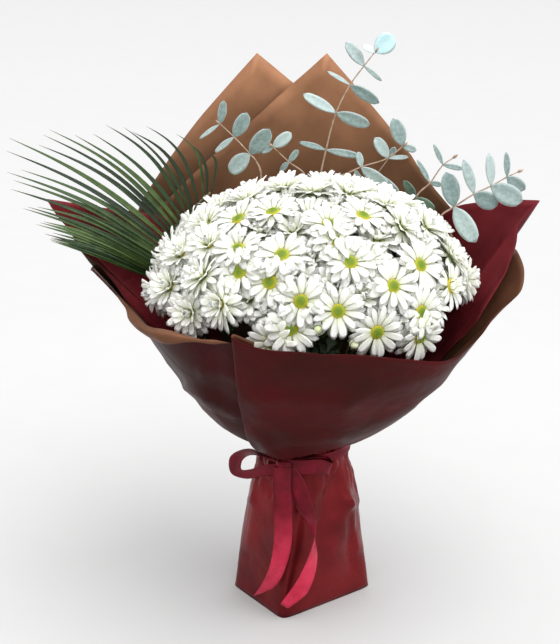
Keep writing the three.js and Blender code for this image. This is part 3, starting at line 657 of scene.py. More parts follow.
def fill_gaps(heads, lowered, spacing):
    """Adds a fuller head wherever none is near, evenly over the dome or lowered under it."""
    for i in range(HEAD_TRIES):
        at, facing = even_spot(i, HEAD_TRIES)
        at = at - lowered * facing
        if all(np.linalg.norm(other[0] - at) >= spacing for other in heads):
            heads.append((at, facing, FULL_RINGS))


def place_heads():
    """(place, facing, rings of petals) for each head: on the dome, then a little lower in its gaps."""
    heads = [(*dome_seen(*pixel), HALF_RINGS if pixel == HALF_OPEN else OPEN_RINGS) for pixel in DISCS]
    fill_gaps(heads, 0, HEAD_SPACING)
    fill_gaps(heads, LOWER_HEADS, LOWER_SPACING)
    return heads + [(*dome_seen(*pixel), NO_RINGS) for pixel in BUDS]


def petal_grid(length, width, lift, tip, cup, twist, rows=8, columns=5):
    """A petal along +X from its base, facing +Z. Its slope goes from lift to tip, in degrees."""
    t = np.linspace(0, 1, rows)
    widest = 0.62
    swell = 0.38 + 0.62 * np.sin(0.5 * math.pi * np.minimum(t / widest, 1))
    close = np.sqrt(np.maximum(1 - (np.maximum(t - widest, 0) / (1.05 - widest)) ** 2, 0))
    half = 0.5 * width * swell * close
    slope = np.radians(mix(lift, tip, t))
    step = length / (rows - 1)
    reach, rise = (np.concatenate(((0,), np.cumsum(way(slope[:-1]) * step))) for way in (np.cos, np.sin))
    x = np.linspace(-1, 1, columns)
    ridges = 0.25 * np.outer(np.sin(math.pi * t), 0.5 * np.cos(2 * math.pi * x))
    grid = np.zeros((rows, columns, 3))
    grid[:, :, 0] = reach[:, None] - 0.07 * length * np.outer(t**5, np.abs(x) ** 1.5)
    grid[:, :, 1] = np.outer(half, x)
    grid[:, :, 2] = rise[:, None] + cup * np.outer(half, x**2) + ridges
    grid[:, :, 2] += twist * np.outer(half * t, x)
    return grid


def add_petals(build, at, axes, rings):
    for count, length, width, lift, tip, radius, height in rings:
        start = rng.uniform(0, 2 * math.pi)
        for i in range(count):
            grid = petal_grid(
                length * rng.uniform(0.88, 1.08), width * rng.uniform(0.85, 1.08),
                lift + rng.uniform(-7, 7), tip + rng.uniform(-14, 10),
                cup=rng.uniform(0.05, 0.4), twist=rng.uniform(-0.35, 0.35),
            )
            grid += vec(radius, 0, height + rng.uniform(-0.5, 0.5))
            turn = start + 2 * math.pi * (i + rng.uniform(-0.22, 0.22)) / count
            spin = np.array([turned(way, turn) for way in np.eye(3)])
            add_thin(build, at + grid @ spin @ axes, PETAL_THICK, PETAL, tint=rng.random())


def add_disc(build, at, axes, scale):
    """The yellow middle of a head: a cushion with a spiral of florets, small ones at its centre."""
    axes = axes * scale
    add_lathe(build, at, axes, DISC_PROFILE, 16, DISC)
    turns = np.linspace(0, 2 * math.pi, FLORET_SIDES, endpoint=False)
    base, tip = tuple(reversed(range(FLORET_SIDES))), 2 * FLORET_SIDES
    cap = [(FLORET_SIDES + k, FLORET_SIDES + (k + 1) % FLORET_SIDES, tip) for k in range(FLORET_SIDES)]
    faces = grid_faces(2, FLORET_SIDES, closed=True) + cap + [base]
    for i in range(FLORETS):
        share = math.sqrt((i + 0.5) / FLORETS)
        radius, turn = FLORETS_REACH * share, i * GOLDEN_ANGLE
        height = FLORETS_HEIGHT - FLORETS_DROP * share**2.6
        size = mix(0.62, 0.95, share)
        place = at + vec(radius * math.cos(turn), radius * math.sin(turn), height) @ axes
        points = [place + vec(size * r * math.cos(a), size * r * math.sin(a), z) @ axes
                  for r, z in ((1.0, -0.5), (0.85, 0.35)) for a in turns]
        points.append(place + vec(0, 0, 0.85) @ axes)
        build.add(points, faces, DISC, (share, 0, rng.random()))


def add_head(build, at, facing, rings):
    """One flower: calyx, disc and petals. The flowers whose discs are hidden have fuller middles."""
    full = rings is FULL_RINGS
    facing = unit(facing + (0.3 if full else 0.1) * random_way())
    axes = basis(facing, rng.uniform(0, 2 * math.pi))
    add_petals(build, at, axes, rings)
    add_disc(build, at, axes, 0.45 if full else 0.85)
    add_lathe(build, at, axes, CALYX_PROFILE, 10, STEM, rng.random())
    return axes


def add_bud(build, at, facing):
    """A closed bud on its calyx."""
    axes = basis(facing, rng.uniform(0, 2 * math.pi))
    add_lathe(build, at, axes, BUD_PROFILE, 12, BUD, rng.random())
    add_lathe(build, at + 3.6 * axes[2], 0.56 * axes, CALYX_PROFILE, 10, STEM, rng.random())
    return axes


def leaf_grid(base, along, face, length, half_width, droop, fold, rows, columns, wave=0.0):
    """A leaf from its base. half_width(t) is its outline, droop bends its tip down, fold lifts its sides
    and wave ripples them."""
    along = unit(along)
    side = unit(np.cross(face, along))
    normal = unit(np.cross(along, side))
    t = np.linspace(0, 1, rows)
    half = np.array([half_width(k) for k in t])
    x = np.linspace(-1, 1, columns)
    lift = -droop * t**2
    spread = base + np.outer(length * t, along)
    grid = spread[:, None, :] + half[:, None, None] * x[None, :, None] * side
    ripple = wave * np.outer(np.sin(3.3 * math.pi * t), x)
    height = lift[:, None] + fold * np.outer(half, np.abs(x)) + ripple
    return grid + height[:, :, None] * normal


def lobed(width):
    """The outline of a daisy's leaf: a narrow base, then deep rounded lobes."""
    def half(t):
        blade = 0.12 + math.sin(math.pi * min(t * 1.05, 1)) ** 0.8
        return 0.5 * width * blade * (0.72 + 0.28 * math.cos(6.2 * math.pi * t))
    return half


def add_foliage(build, start, end, facing):
    """Two leaves on the branch under a head, so that green shows between the flowers."""
    for _ in range(2):
        base = mix(start, end, rng.uniform(0.35, 0.75))
        sideways = unit(np.cross(facing, random_way()))
        along = sideways + facing * rng.uniform(0.2, 0.8)
        length = rng.uniform(26, 38)
        outline, droop = lobed(rng.uniform(13, 18)), rng.uniform(2, 8)
        grid = leaf_grid(base, along, facing, length, outline, droop, 0.25, 13, 5, wave=1.0)
        add_thin(build, grid, LEAF_THICK, FOLIAGE, tint=rng.random())


def daisy_spray(index, seed, own):
    """One stem with its branches, leaves and flowers, up through the tie from its cut end."""
    build = Build(f"daisy_spray_{index + 1:02d}", [PETAL, DISC, BUD, STEM, FOLIAGE])
    radius = SPRAY_BUNDLE_RADIUS * math.sqrt((index + 0.5) / SPRAY_COUNT)
    at_tie = around(math.degrees(index * GOLDEN_ANGLE), radius, TIE_Z)
    fork = mix(FORK_FOCUS, seed, FORK_REACH)

    def rise(t):
        x, y, _ = mix(at_tie, fork, t**1.4)
        return vec(x, y, mix(TIE_Z, fork[2], t))

    path = bundle_run(at_tie) + [rise(1 / 3), rise(2 / 3), fork]
    add_stalk(build, path, 34, STEM_RADII, 8, STEM, rng.random())
    start = rise(0.97)
    for at, facing, rings in own:
        axes = add_head(build, at, facing, rings) if rings else add_bud(build, at, facing)
        under = at - CALYX_DEPTH * axes[2]
        bend = mix(start, under, 0.55) - 4 * axes[2]
        add_stalk(build, (start, bend, under), 8, BRANCH_RADII, 6, STEM, rng.random())
        add_foliage(build, start, under, facing)
    build.finish()


def daisy_sprays():
    """Each head belongs to the spray whose seed on the dome is nearest."""
    seeds = [even_spot(i, SPRAY_COUNT)[0] for i in range(SPRAY_COUNT)]
    shares = [[] for _ in seeds]
    for head in place_heads():
        distances = [np.linalg.norm(seed - head[0]) for seed in seeds]
        shares[int(np.argmin(distances))].append(head)
    for i, seed in enumerate(seeds):
        daisy_spray(i, seed, shares[i])


# ---- Eucalyptus ----
# Each sprig: its angle on the ring at the tie, its way up, the depth and the pixels of its nodes, and
# for each leaf (node, angle in the front view, length, width, lean to the back).
SPRIGS = {
    "tall": dict(
        ring=178, rise=((12, 66, 240), (16, 127, 335)), depth=112,
        nodes=((320, 180), (326, 150), (336, 113), (350, 85), (364, 66), (375, 52)),
        leaves=((5, 40, 26, 21, 0.2), (5, 150, 15, 8, -0.2), (4, 128, 31, 13, 0.1), (4, -40, 27, 5, 0.2),
                (3, 150, 28, 5, 0.2), (3, -31, 36, 12, -0.1), (2, 152, 40, 12, 0.2), (2, -19, 38, 14, -0.1),
                (1, 164, 30, 7, 0.1), (1, -12, 38, 8, 0.1)),
    ),
    "left": dict(
        ring=-140, rise=((-36, 60, 240), (-58, 120, 335)), depth=96,
        nodes=((261, 174), (256, 161), (250, 154), (234, 137), (220, 124)),
        leaves=((4, 80, 25, 9, 0.1), (4, 217, 29, 5, 0.2), (3, 60, 29, 15, 0.1), (3, 220, 27, 7, 0.1),
                (2, 52, 34, 18, -0.1), (2, 223, 31, 18, 0.1)),
    ),
    "inner": dict(
        ring=-161, rise=((-12, 66, 240), (-12, 127, 335)), depth=116,
        nodes=((306, 177), (289, 162), (273, 147)),
        leaves=((2, 36, 25, 13, 0.1), (2, 205, 15, 8, 0.1), (1, 52, 17, 7, 0.2), (1, 228, 16, 7, 0.2)),
    ),
    "dark": dict(
        ring=157, rise=((30, 64, 240), (41, 125, 335)), depth=104,
        nodes=((326, 184), (348, 173), (361, 167), (388, 158), (403, 146)),
        leaves=((4, 110, 31, 16, 0.1), (4, -20, 16, 8, 0.1), (3, 122, 26, 13, 0.1), (3, 0, 23, 5, 0.2),
                (2, 100, 17, 8, 0.3), (2, -36, 36, 14, -0.1)),
    ),
    "short": dict(
        ring=136, rise=((46, 58, 240), (76, 119, 335)), depth=113,
        nodes=((366, 190), (377, 174), (389, 158)),
        leaves=((0, 120, 26, 6, 0.1), (1, -40, 32, 8, -0.1), (2, 60, 14, 7, 0.2)),
    ),
    "right": dict(
        ring=114, rise=((62, 46, 240), (130, 94, 330)), depth=81,
        nodes=((416, 198), (430, 183), (443, 165), (453, 158)),
        leaves=((2, 115, 24, 6, 0.1), (2, -12, 23, 6, 0.1), (1, 120, 28, 6, 0.2), (1, -10, 14, 6, 0.1),
                (0, 125, 24, 9, -0.1), (0, -32, 24, 12, -0.3)),
    ),
    "low": dict(
        ring=92, depth=12,
        rise=((62, 26, 236), (118, 43, 282), (151, 62, 316), (153, 49, 346), (148, 34, 378)),
        nodes=((441, 216), (454, 207), (474, 194), (491, 186), (507, 177), (518, 172)),
        leaves=((1, 103, 36, 19, 0.1), (1, -56, 42, 19, -0.5), (2, 108, 36, 11, 0.1),
                (2, -25, 27, 18, -0.1), (3, 95, 33, 10, 0.1), (3, -24, 35, 21, -0.3), (4, 92, 25, 7, 0.1),
                (4, -34, 23, 13, -0.1)),
    ),
}


def oval(width):
    """The outline of a eucalyptus leaf: broad and rounded, with a short stalk."""
    def half(t):
        blade = (max(t - 0.06, 0) / 0.94) ** 1.1
        return max(0.5 * width * 2 * math.sqrt(max(blade * (1 - blade), 0)), 0.35)
    return half


EDGE_ON = 8.5  # leaves narrower than this are seen nearly from the edge
GUM_THICK = 0.55
TWIG_RADII = (1.6, 0.55)


def gum_look(name, node, top):
    """The look of a leaf: the newest is pale, and the lowest on the right sprig is dark."""
    if name == "tall" and node == top:
        return GUM_PALE
    return GUM_DARK if name == "right" and node == 0 else GUM_FACE


def eucalyptus_sprig(name, ring, rise, depth, nodes, leaves):
    build = Build(f"eucalyptus_sprig_{name}", [GUM_FACE, GUM_PALE, GUM_DARK, GUM_BACK, TWIG])
    places = [seen_at(px, py, depth) for px, py in nodes]
    path = bundle_run(around(ring, GREENS_RING, TIE_Z)) + [vec(*p) for p in rise] + places
    add_stalk(build, path, 60, TWIG_RADII, 7, TWIG, rng.random())
    for node, angle, length, width, lean in leaves:
        turn = math.radians(angle)
        along = unit(vec(math.cos(turn), lean, math.sin(turn)))
        face = vec(0.25 * math.sin(turn), -1, 0.3 - 0.25 * math.cos(turn))
        if width < EDGE_ON:
            face = face + vec(0, 0, 0.35)
        outline, droop = oval(width), rng.uniform(0, 2.5)
        grid = leaf_grid(places[node] - along, along, face, length, outline, droop, 0.22, 11, 7, wave=0.3)
        add_thin(build, grid, GUM_THICK, GUM_BACK, gum_look(name, node, len(nodes) - 1), rng.random())
    tip = places[-1]
    bud = unit(places[-1] - places[-2])
    add_tube(build, [tip, tip + 3 * bud, tip + 6 * bud], (1.3, 1.5, 0.3), 6, TWIG)
    build.finish()


# ---- Palm frond ----
PALM_RING = -114
PALM_RIB = (
    (-60, 28, 232), (-118, 38, 286), (-147, 46, 322), (-143, 35, 362), (-119, 38, 394), (-92, 38, 420),
)
PALM_FIRST = 0.68  # how far up the stalk its lowest leaflet grows
PALM_DEPTHS = (2, 22)
# Pixels of the leaflets' tips, from the lowest round to the last.
PALM_TIPS = (
    (51, 241), (31, 218), (12, 192), (7, 170), (7, 140), (41, 130), (79, 131), (115, 124), (135, 127),
    (175, 126), (203, 155),
)
LEAFLETS = 34
LEAFLET_THICK = 0.4
LEAFLET_ROWS = 16
PALM_RADII = (2.0, 0.8)


def sliver(width):
    """The outline of a palm leaflet: widest a third of the way out, then a long fine point."""
    def half(t):
        return 0.5 * width * max(min(1.0, 0.45 + 2.2 * t) * (1 - max(t - 0.3, 0) / 0.7) ** 0.8, 0.03)
    return half


def palm_frond():
    build = Build("palm_frond", [PALM])
    stalk = bundle_run(around(PALM_RING, GREENS_RING, TIE_Z)) + [vec(*p) for p in PALM_RIB]
    add_stalk(build, stalk, 60, PALM_RADII, 8, PALM, 0.2)
    last = len(PALM_TIPS) - 1
    tips = [seen_at(*p, mix(*PALM_DEPTHS, i / last)) for i, p in enumerate(PALM_TIPS)]
    bow = np.sin(np.linspace(0, math.pi, LEAFLET_ROWS))[:, None, None]
    for i in range(LEAFLETS):
        t = min(max((i + rng.uniform(-0.25, 0.25)) / (LEAFLETS - 1), 0), 1) ** 2
        base, tip = smooth(stalk, mix(PALM_FIRST, 1, t)), smooth(tips, t)
        tip = mix(base, tip, rng.uniform(0.82, 1.0) if i % 3 else 1.0)
        way = tip - base
        arch = mix(3, 15, math.sqrt(t)) * rng.uniform(0.7, 1.25)
        face = unit(vec(0.3 + rng.uniform(-0.5, 0.5), -1, 0.5 + rng.uniform(-0.3, 0.3)))
        outline = sliver(mix(7.2, 3.9, t) * rng.uniform(0.85, 1.1))
        length = 1.03 * np.linalg.norm(way)
        grid = leaf_grid(base - 0.03 * way, way, face, length, outline, 0, 0.45, LEAFLET_ROWS, 5)
        add_thin(build, grid + bow * arch * vec(0.5, 0.1, 0.8), LEAFLET_THICK, PALM, tint=rng.random())
    build.finish()


# ---- Wrapping sheets ----
BACK_SHOULDER_Z = 300
SHEET_THICK = 0.4
COLUMN_STEPS = 6  # finer than the solid model's columns
CLIMB_STEPS = 34


def back_rise(top, share):
    return top[2] - BACK_SHOULDER_Z


def seen_rim(*places):
    return [seen_at(*place) for place in places]


def rim(*places):
    return [vec(*place) for place in places]


def ease(value, low, high):
    """0 below low, 1 above high and a smooth way between them."""
    t = min(max((value - low) / (high - low), 0), 1)
    return t * t * (3 - 2 * t)


def left_profile(share, front, side, back):
    """A value of the left front sheet's profile: side changes to back first, and all of it to front."""
    at_side = mix(side, back, 1 - ease(share, 0.2, 0.5))
    return mix(front, at_side, 1 - ease(share, 0.45, 0.95))


def right_profile(share, front, corner, side):
    """A value of the right front sheet's profile, from its front edge round its corner to the side."""
    in_front = mix(front, corner, ease(share, 0.12, 0.36))
    return mix(in_front, side, ease(share, 0.42, 0.62))


def wing_profile(share, hidden, wing):
    """A value of the right side sheet's profile, from its hidden edge to the wing's edge."""
    return mix(hidden, wing, ease(share, 0.1, 0.45))


def wing_lean(share):
    at_edge = mix(0.69, 0.81, ease(share, 0.6, 1))
    return mix(min(3.6 * share - 0.8, 0.55), at_edge, ease(share, 0.42, 0.6))


def left_roll(share):
    """The radius of the left front sheet's rolled lip: wide until it ends, and soon gone after that."""
    return 1.4 + 9.5 * math.exp(-(((share - 0.66) / (0.16 if share < 0.66 else 0.05)) ** 2))


# Each sheet: its outer and inner face; its cut, as the width and length of the piece that it comes from
# and its area, in metres; the folds seen in the photograph, as the pixels of a crest's two ends, its reach
# and its height; its circle and angles at the neck; its rim, in stretches of so many steps. The rest goes
# by the share of the way along the rim: how far out and up the sheet flares from the neck, how long it
# rises straight before the rim, how far that rise leans outwards, and the radius of a rolled lip.
SHEETS = {
    "side_sheet_left": dict(
        # Its inner face is a lighter copy of the burgundy film, painted light; its bronze outer face has
        # painted shade low down.
        faces=(BRONZE, BURGUNDY_PAINTED_LIGHT), cut=(0.22, 0.26, 0.025), neck_radius=33.4, arc=(-146, -88),
        stretches=(
            (5, rim((-140, 84, 382), (-164, 70, 390), (-204, 54, 400), (-256, 46, 411))),
            (9, rim((-256, 46, 411), (-240, 43, 386), (-224, 40, 362), (-198, 30, 342), (-176, 10, 318))),
        ),
        flare=lambda share: (48, 36), rise=lambda top, share: 64,
        lean=lambda share: min(2.2 * share - 0.2, 0.7),
    ),
    "side_sheet_right": dict(
        # Both faces are a lighter copy of the burgundy film: painted light.
        faces=(BURGUNDY_PAINTED_LIGHT, BURGUNDY_PAINTED_LIGHT), cut=(0.24, 0.26, 0.032), neck_radius=33.4, arc=(132, 73.5),
        folds=((495, 240, 474, 263, 9, 2.8), (460, 330, 500, 268, 9, 2.4)),
        stretches=(
            (5, rim((141, 84, 386), (167, 62, 401), (206, 35, 413), (231, 20, 417))),
            (7, rim((231, 20, 417), (212, 10, 402), (207, -2, 381), (199, -14, 363), (188, -26, 347),
                    (178, -34, 331), (167, -42, 315))),
        ),
        flare=lambda share: (wing_profile(share, 55, 52.5), wing_profile(share, 36, 29.5)),
        rise=lambda top, share: 88.5, lean=wing_lean,
    ),
    "back_sheet_right": dict(
        faces=(BURGUNDY, BRONZE), cut=(0.34, 0.40, 0.088), neck_radius=35.6, arc=(-128, -238),
        folds=((327, 60, 330, 150, 34, -2.5), (285, 150, 330, 175, 26, -3.0),
               (380, 178, 420, 150, 12, 2.6)),
        stretches=(
            (7, seen_rim((151, 216, 126), (202, 166, 146), (246, 126, 150), (327, 53, 152))),
            (7, seen_rim((327, 53, 152), (363, 95, 151), (393, 132, 149), (431, 184, 134),
                         (470, 230, 104))),
        ),
        flare=lambda share: (76, 52), rise=back_rise, lean=lambda share: -0.05,
    ),
    "back_sheet_left": dict(
        faces=(BURGUNDY, BRONZE), cut=(0.34, 0.40, 0.088), neck_radius=37.8, arc=(-122, -236),
        folds=((163, 232, 178, 190, 6, 3.0), (172, 236, 196, 196, 6, 3.2), (196, 123, 240, 100, 30, 1.2)),
        stretches=(
            (7, seen_rim((124, 241, 116), (145, 198, 144), (160, 172, 156), (196, 123, 162),
                         (257, 53, 164))),
            (6, seen_rim((257, 53, 164), (293, 83, 164), (358, 134, 164), (413, 190, 160))),
        ),
        flare=lambda share: (82, 48), rise=back_rise, lean=lambda share: -0.05,
    ),
    "front_sheet_left": dict(
        # Both faces of this sheet are darker copies of the film: painted shade.
        faces=(BURGUNDY_PAINTED_SHADE, BRONZE_PAINTED_SHADE), cut=(0.32, 0.26, 0.062), neck_radius=40, arc=(-118, -8),
        folds=((189, 386, 236, 412, 9, 4.2), (205, 371, 238, 375, 10, 1.8), (214, 345, 222, 400, 14, -1.6),
               (150, 330, 186, 372, 12, 1.4)),
        stretches=(
            (16, rim((-190, 148, 312), (-210, 98, 327), (-213, 48, 337), (-206, 14, 345), (-168, -38, 327),
                     (-149, -78, 324), (-118, -118, 327), (-94, -132, 327), (-60, -148, 330),
                     (-18, -153, 320))),
        ),
        flare=lambda share: (left_profile(share, 60, 86, 86), left_profile(share, -8, 29, 29)),
        rise=lambda top, share: left_profile(share, 40, 111, 111),
        lean=lambda share: left_profile(share, 0.3, 0.68, 1.2),
        roll=left_roll, neck_top=NECK_HIGH_Z + 2.6,
    ),
    "front_sheet_right": dict(
        # Its inner face is a darker copy of the bronze film: painted shade.
        faces=(BURGUNDY, BRONZE_PAINTED_SHADE), cut=(0.46, 0.24, 0.078), neck_radius=42.2, arc=(-38, 114), hem=True,
        folds=((243, 398, 348, 402, 10, 2.4), (268, 446, 338, 436, 9, 2.8), (252, 432, 286, 458, 9, 3.0),
               (348, 402, 436, 372, 18, 2.2), (274, 421, 330, 428, 14, -1.8),
               (350, 432, 410, 404, 12, 1.6)),
        stretches=(
            (20, rim((-64, -157, 339), (-38, -162, 331), (7, -164, 328), (57, -158, 322), (92, -146, 315),
                     (122, -126, 305), (140, -106, 301), (154, -82, 303), (167, -62, 305), (190, -40, 326),
                     (210, -26, 341), (214, -10, 357), (210, 16, 368), (212, 54, 350), (210, 96, 322),
                     (192, 138, 288))),
        ),
        flare=lambda share: (right_profile(share, 62, 46, 49), right_profile(share, -14, 6, 30)),
        rise=lambda top, share: right_profile(share, 40, 57, 72),
        lean=lambda share: right_profile(share, 0.3, 0.39, 0.85),
    ),
}
# The wrap's creases: their size, their seed and how far they stand out, above the height CREASES_FROM.
CREASES = ((86, 3.1, 1.6), (37, 8.4, 0.6))
CREASES_FROM = NECK_HIGH_Z + 4
ROLL_TURNS = np.radians(np.arange(20, 221, 20))
HEM_TURNS = np.radians(np.arange(180, 0, -30))
HEM_RADIUS = (0.5, 3.2)  # at the neck and at the rim
HEM_DEPTH = 18  # how far the turned edge of the right front sheet goes back at the rim


def wave(point, size, seed):
    """Smooth noise from about -1 to 1 whose features are `size` across."""
    return noise.noise(Vector(point) / size + Vector((seed, 2.3 * seed, 0.7 * seed)))


def crest(point, size, seed, fall):
    """Noise with sharp crests of height 1, which falls away on both sides."""
    return 1 - fall * abs(wave(point, size, seed))


def crumple(point):
    """How far the wrap's creases push a place outwards: one field, so sheets that touch move together."""
    clear = min(max((point[2] - CREASES_FROM) / 40, 0), 1)
    creases = sum(height * crest(point, size, seed, 2.4) for size, seed, height in CREASES)
    return clear * (creases + 0.35 * wave(point, 15, 5.5))


def pressed(point, folds):
    """How high a film's folds stand at a point. Each is a crest between two pixels of the photograph, with
    its reach to each side and its height, and its flanks are flat."""
    px, py = pixel_of(point)
    total = 0.0
    for x0, y0, x1, y1, reach, height in folds:
        along = ((px - x0) * (x1 - x0) + (py - y0) * (y1 - y0)) / ((x1 - x0) ** 2 + (y1 - y0) ** 2)
        along = min(max(along, 0), 1)
        apart = math.hypot(px - mix(x0, x1, along), py - mix(y0, y1, along))
        total += height * max(0, 1 - apart / reach)
    return total


def sheet_column(top, share, neck_radius, angle, flare, rise, lean, roll, neck_top):
    """The points of a sheet from the neck up to one place on its rim, and round its rolled lip."""
    low, high = around(angle, neck_radius, NECK_LOW_Z), around(angle, neck_radius, neck_top)
    out_at_rim = unit(vec(top[0], top[1], 0))
    rim_way = unit(out_at_rim * lean(share) + UP)
    away, climb = flare(share)
    flare_end = high + around(angle, 1, 0) * away + UP * climb
    rise_start = top - rim_way * rise(top, share)
    column = [low, mix(low, high, 0.5)]
    column += [cubic(high, flare_end, rise_start, top, t / CLIMB_STEPS) for t in range(CLIMB_STEPS + 1)]
    if roll:
        radius = roll(share)
        for turn in ROLL_TURNS:
            outwards = out_at_rim * radius * (1 - math.cos(turn))
            column.append(top + rim_way * radius * math.sin(turn) + outwards)
    return column


def sheet_grid(neck_radius, arc, stretches, flare, rise, lean, roll=None, neck_top=NECK_HIGH_Z):
    """The sheet's surface: rows from the neck to the rim, columns along it."""
    tops = []
    for s, (steps, points) in enumerate(stretches):
        count = steps * COLUMN_STEPS
        tops += [smooth(points, i / count) for i in range(1 if s else 0, count + 1)]
    columns = []
    for i, top in enumerate(tops):
        share = i / (len(tops) - 1)
        angle = mix(arc[0], arc[1], share)
        columns.append(sheet_column(top, share, neck_radius, angle, flare, rise, lean, roll, neck_top))
    return np.array(columns).transpose(1, 0, 2)


def with_hem(grid, outward):
    """The sheet's grid with its first column's edge turned under in a soft round fold."""
    edge, beside = grid[:, 0], grid[:, 1]
    way = (edge - beside) / np.linalg.norm(edge - beside, axis=1, keepdims=True)
    climb = np.linspace(0, 1, len(grid))[:, None] ** 1.5
    radius = mix(HEM_RADIUS[0], HEM_RADIUS[1], climb)
    columns = [edge - 2 * radius * outward - HEM_DEPTH * climb * way * share for share in (1.0, 0.5)]
    for turn in HEM_TURNS:
        round_way = math.cos(turn) * outward + math.sin(turn) * way
        columns.append(edge - radius * outward + radius * round_way)
    return np.concatenate((np.stack(columns, axis=1), grid), axis=1)


def wrap_sheet(name, faces, cut, folds=(), hem=False, **shape):
    """One creased sheet of wrap, which stands for the solid model's smooth one."""
    build = Build(name, list(dict.fromkeys(faces)))
    grid = sheet_grid(**shape)
    normals = grid_normals(grid)
    outward = grid * (1, 1, 0)
    sign = 1 if np.sum(normals * outward) > 0 else -1
    push = np.array([[crumple(point) + pressed(point, folds) for point in row] for row in grid])
    grid = grid + normals * sign * push[:, :, None]
    if hem:
        grid = with_hem(grid, sign * grid_normals(grid)[:, 0])
    add_slab(build, grid, SHEET_THICK, *faces[::sign])
    piece = build.finish()


# ---- Foot film ----
FOOT_POINTS = 168
FOOT_THICK = 0.5
FOOT_SETTLE = 24  # the film's folds fade out below this height, because it stands flat on the floor
# The foot's crests, as in a sheet's folds.
FOOT_FOLDS = (
    (343, 501, 319, 606, 15, 6.0), (345, 465, 343, 501, 8, 3.6), (345, 501, 356, 548, 8, 3.0),
    (330, 476, 322, 540, 11, -2.8), (268, 470, 254, 500, 7, 3.0), (258, 478, 250, 545, 9, 2.4),
    (335, 462, 330, 478, 5, 2.8), (352, 470, 359, 500, 6, 2.6), (303, 505, 318, 492, 9, 2.4),
    (262, 466, 272, 492, 5, -2.6), (345, 512, 352, 570, 6, -2.0),
)


def foot_plan(angle, z):
    """A place on the film's plan at height z: nearly a rectangle on the floor and a circle at the neck."""
    climb = min(z / FOOT_NECK_Z, 1)
    power = 2 / (2 + 10 * (1 - climb) ** 1.5)
    long = mix(FOOT_LONG, FOOT_NECK_RADIUS, climb**0.8)
    short = mix(FOOT_SHORT, FOOT_NECK_RADIUS, climb**0.8)
    bent = [math.copysign(abs(v) ** power, v) for v in (math.cos(angle), math.sin(angle))]
    return turned(vec(long * bent[0], short * bent[1], z), FOOT_TURN)


def foot_push(point):
    """Gathers at the neck that open into a few long folds lower down."""
    turn = math.atan2(point[1], point[0])
    climb = min(point[2] / FOOT_NECK_Z, 1)
    ring = vec(math.cos(turn), math.sin(turn), 0)
    fine = crest(ring * 62 + UP * point[2] * 0.12, 9, 1.7, 2.6)
    broad = crest(ring * 52 + UP * point[2] * 0.35, 34, 4.2, 2.4)
    cross = wave(point, 16, 9.1)
    belly = math.sin(math.pi * min(climb, 1)) ** 0.7
    named = pressed(point, FOOT_FOLDS) if point[1] < 0 else 0
    return fine * 2.4 * climb**3 + broad * 1.2 * belly + cross * 0.6 * climb + named


def foot_point(angle, z):
    point = foot_plan(angle, z)
    return point + unit(point * (1, 1, 0)) * min(z / FOOT_SETTLE, 1) * foot_push(point)


def foot_film():
    """The film is a closed bag: its outer and inner walls, each with a flat bottom."""
    build = Build("foot_film", [FOOT_FACE])
    heights = np.concatenate((np.linspace(0, 20, 5)[:-1], np.linspace(20, FOOT_TOP_Z, 46)))
    angles = np.linspace(0, 2 * math.pi, FOOT_POINTS, endpoint=False)
    outer = np.array([[foot_point(angle, z) for angle in angles] for z in heights])
    flat = outer * (1, 1, 0)
    inner = outer - flat / np.linalg.norm(flat, axis=2, keepdims=True) * FOOT_THICK
    inner[:, :, 2] = np.maximum(inner[:, :, 2], FOOT_THICK)
    walls = np.concatenate((outer, inner[::-1]))
    build.add(walls, tube_faces(len(walls), FOOT_POINTS), FOOT_FACE)
    build.finish()


# ---- Ribbon ----
RIBBON_THICK = 0.4
RIBBON_STEPS = 44
KNOT_AT = np.array((-18, -52, 166.5))
KNOT_REACH = np.array((9, 7, 6.5))
KNOT_RINGS = 15
KNOT_SIDES = 28
TURN_RADIUS = 48.6
TURN_Z = 167.5
TURN_HALF = 5.5
# The ribbon's four loose runs: (pixel x, pixel y, depth, way its width lies) along the middle line, and
# how much shorter one edge is cut than the other, as a share of the run.
RIBBON_RUNS = (
    (0, (
        (285, 466, -52, (0.1, -0.8, 0.5)), (263, 455, -44, (0.1, -0.9, 0.2)),
        (248, 452, -30, (0.1, -0.95, 0.05)), (236, 459, -24, (0.7, -0.7, 0.1)),
        (236, 471, -26, (0.6, -0.6, 0.5)), (247, 474, -34, (0.3, -0.5, 0.8)),
        (262, 471, -46, (0.1, -0.4, 0.9)), (282, 469, -54, (0.1, -0.4, 0.9)),
    )),
    (0, (
        (286, 467, -54, (0, -0.2, 1)), (303, 468, -62, (0.1, -0.1, 1)), (320, 467, -62, (0.1, -0.2, 1)),
        (331, 469, -56, (0.2, -0.4, 0.9)), (326, 464, -50, (0.2, -0.2, 1)),
        (308, 465, -52, (0.1, 0, 1)), (288, 467, -52, (0, 0, 1)),
    )),
    (0.05, (
        (283, 466, -58, (1, 0, 0)), (282, 483, -65, (1, 0, 0)), (283, 508, -73, (1, 0, 0)),
        (283, 540, -79, (1, 0.1, 0)), (279, 563, -78, (1, 0.2, 0.1)), (271, 582, -70, (0.95, 0, 0.2)),
        (262, 594, -61, (0.9, -0.1, 0.3)),
    )),
    (-0.09, (
        (286, 466, -57, (0.9, 0, 0.4)), (296, 484, -63, (0.9, -0.1, 0.4)),
        (304, 505, -69, (0.9, -0.35, 0.3)), (311, 523, -72, (0.5, -0.8, 0.3)),
        (314, 536, -73, (0.05, -0.95, 0.35)), (312, 560, -76, (-0.6, -0.75, 0.2)),
        (304, 583, -79, (-0.9, -0.35, 0.3)), (288, 608, -79, (-0.86, 0, 0.5)),
    )),
)


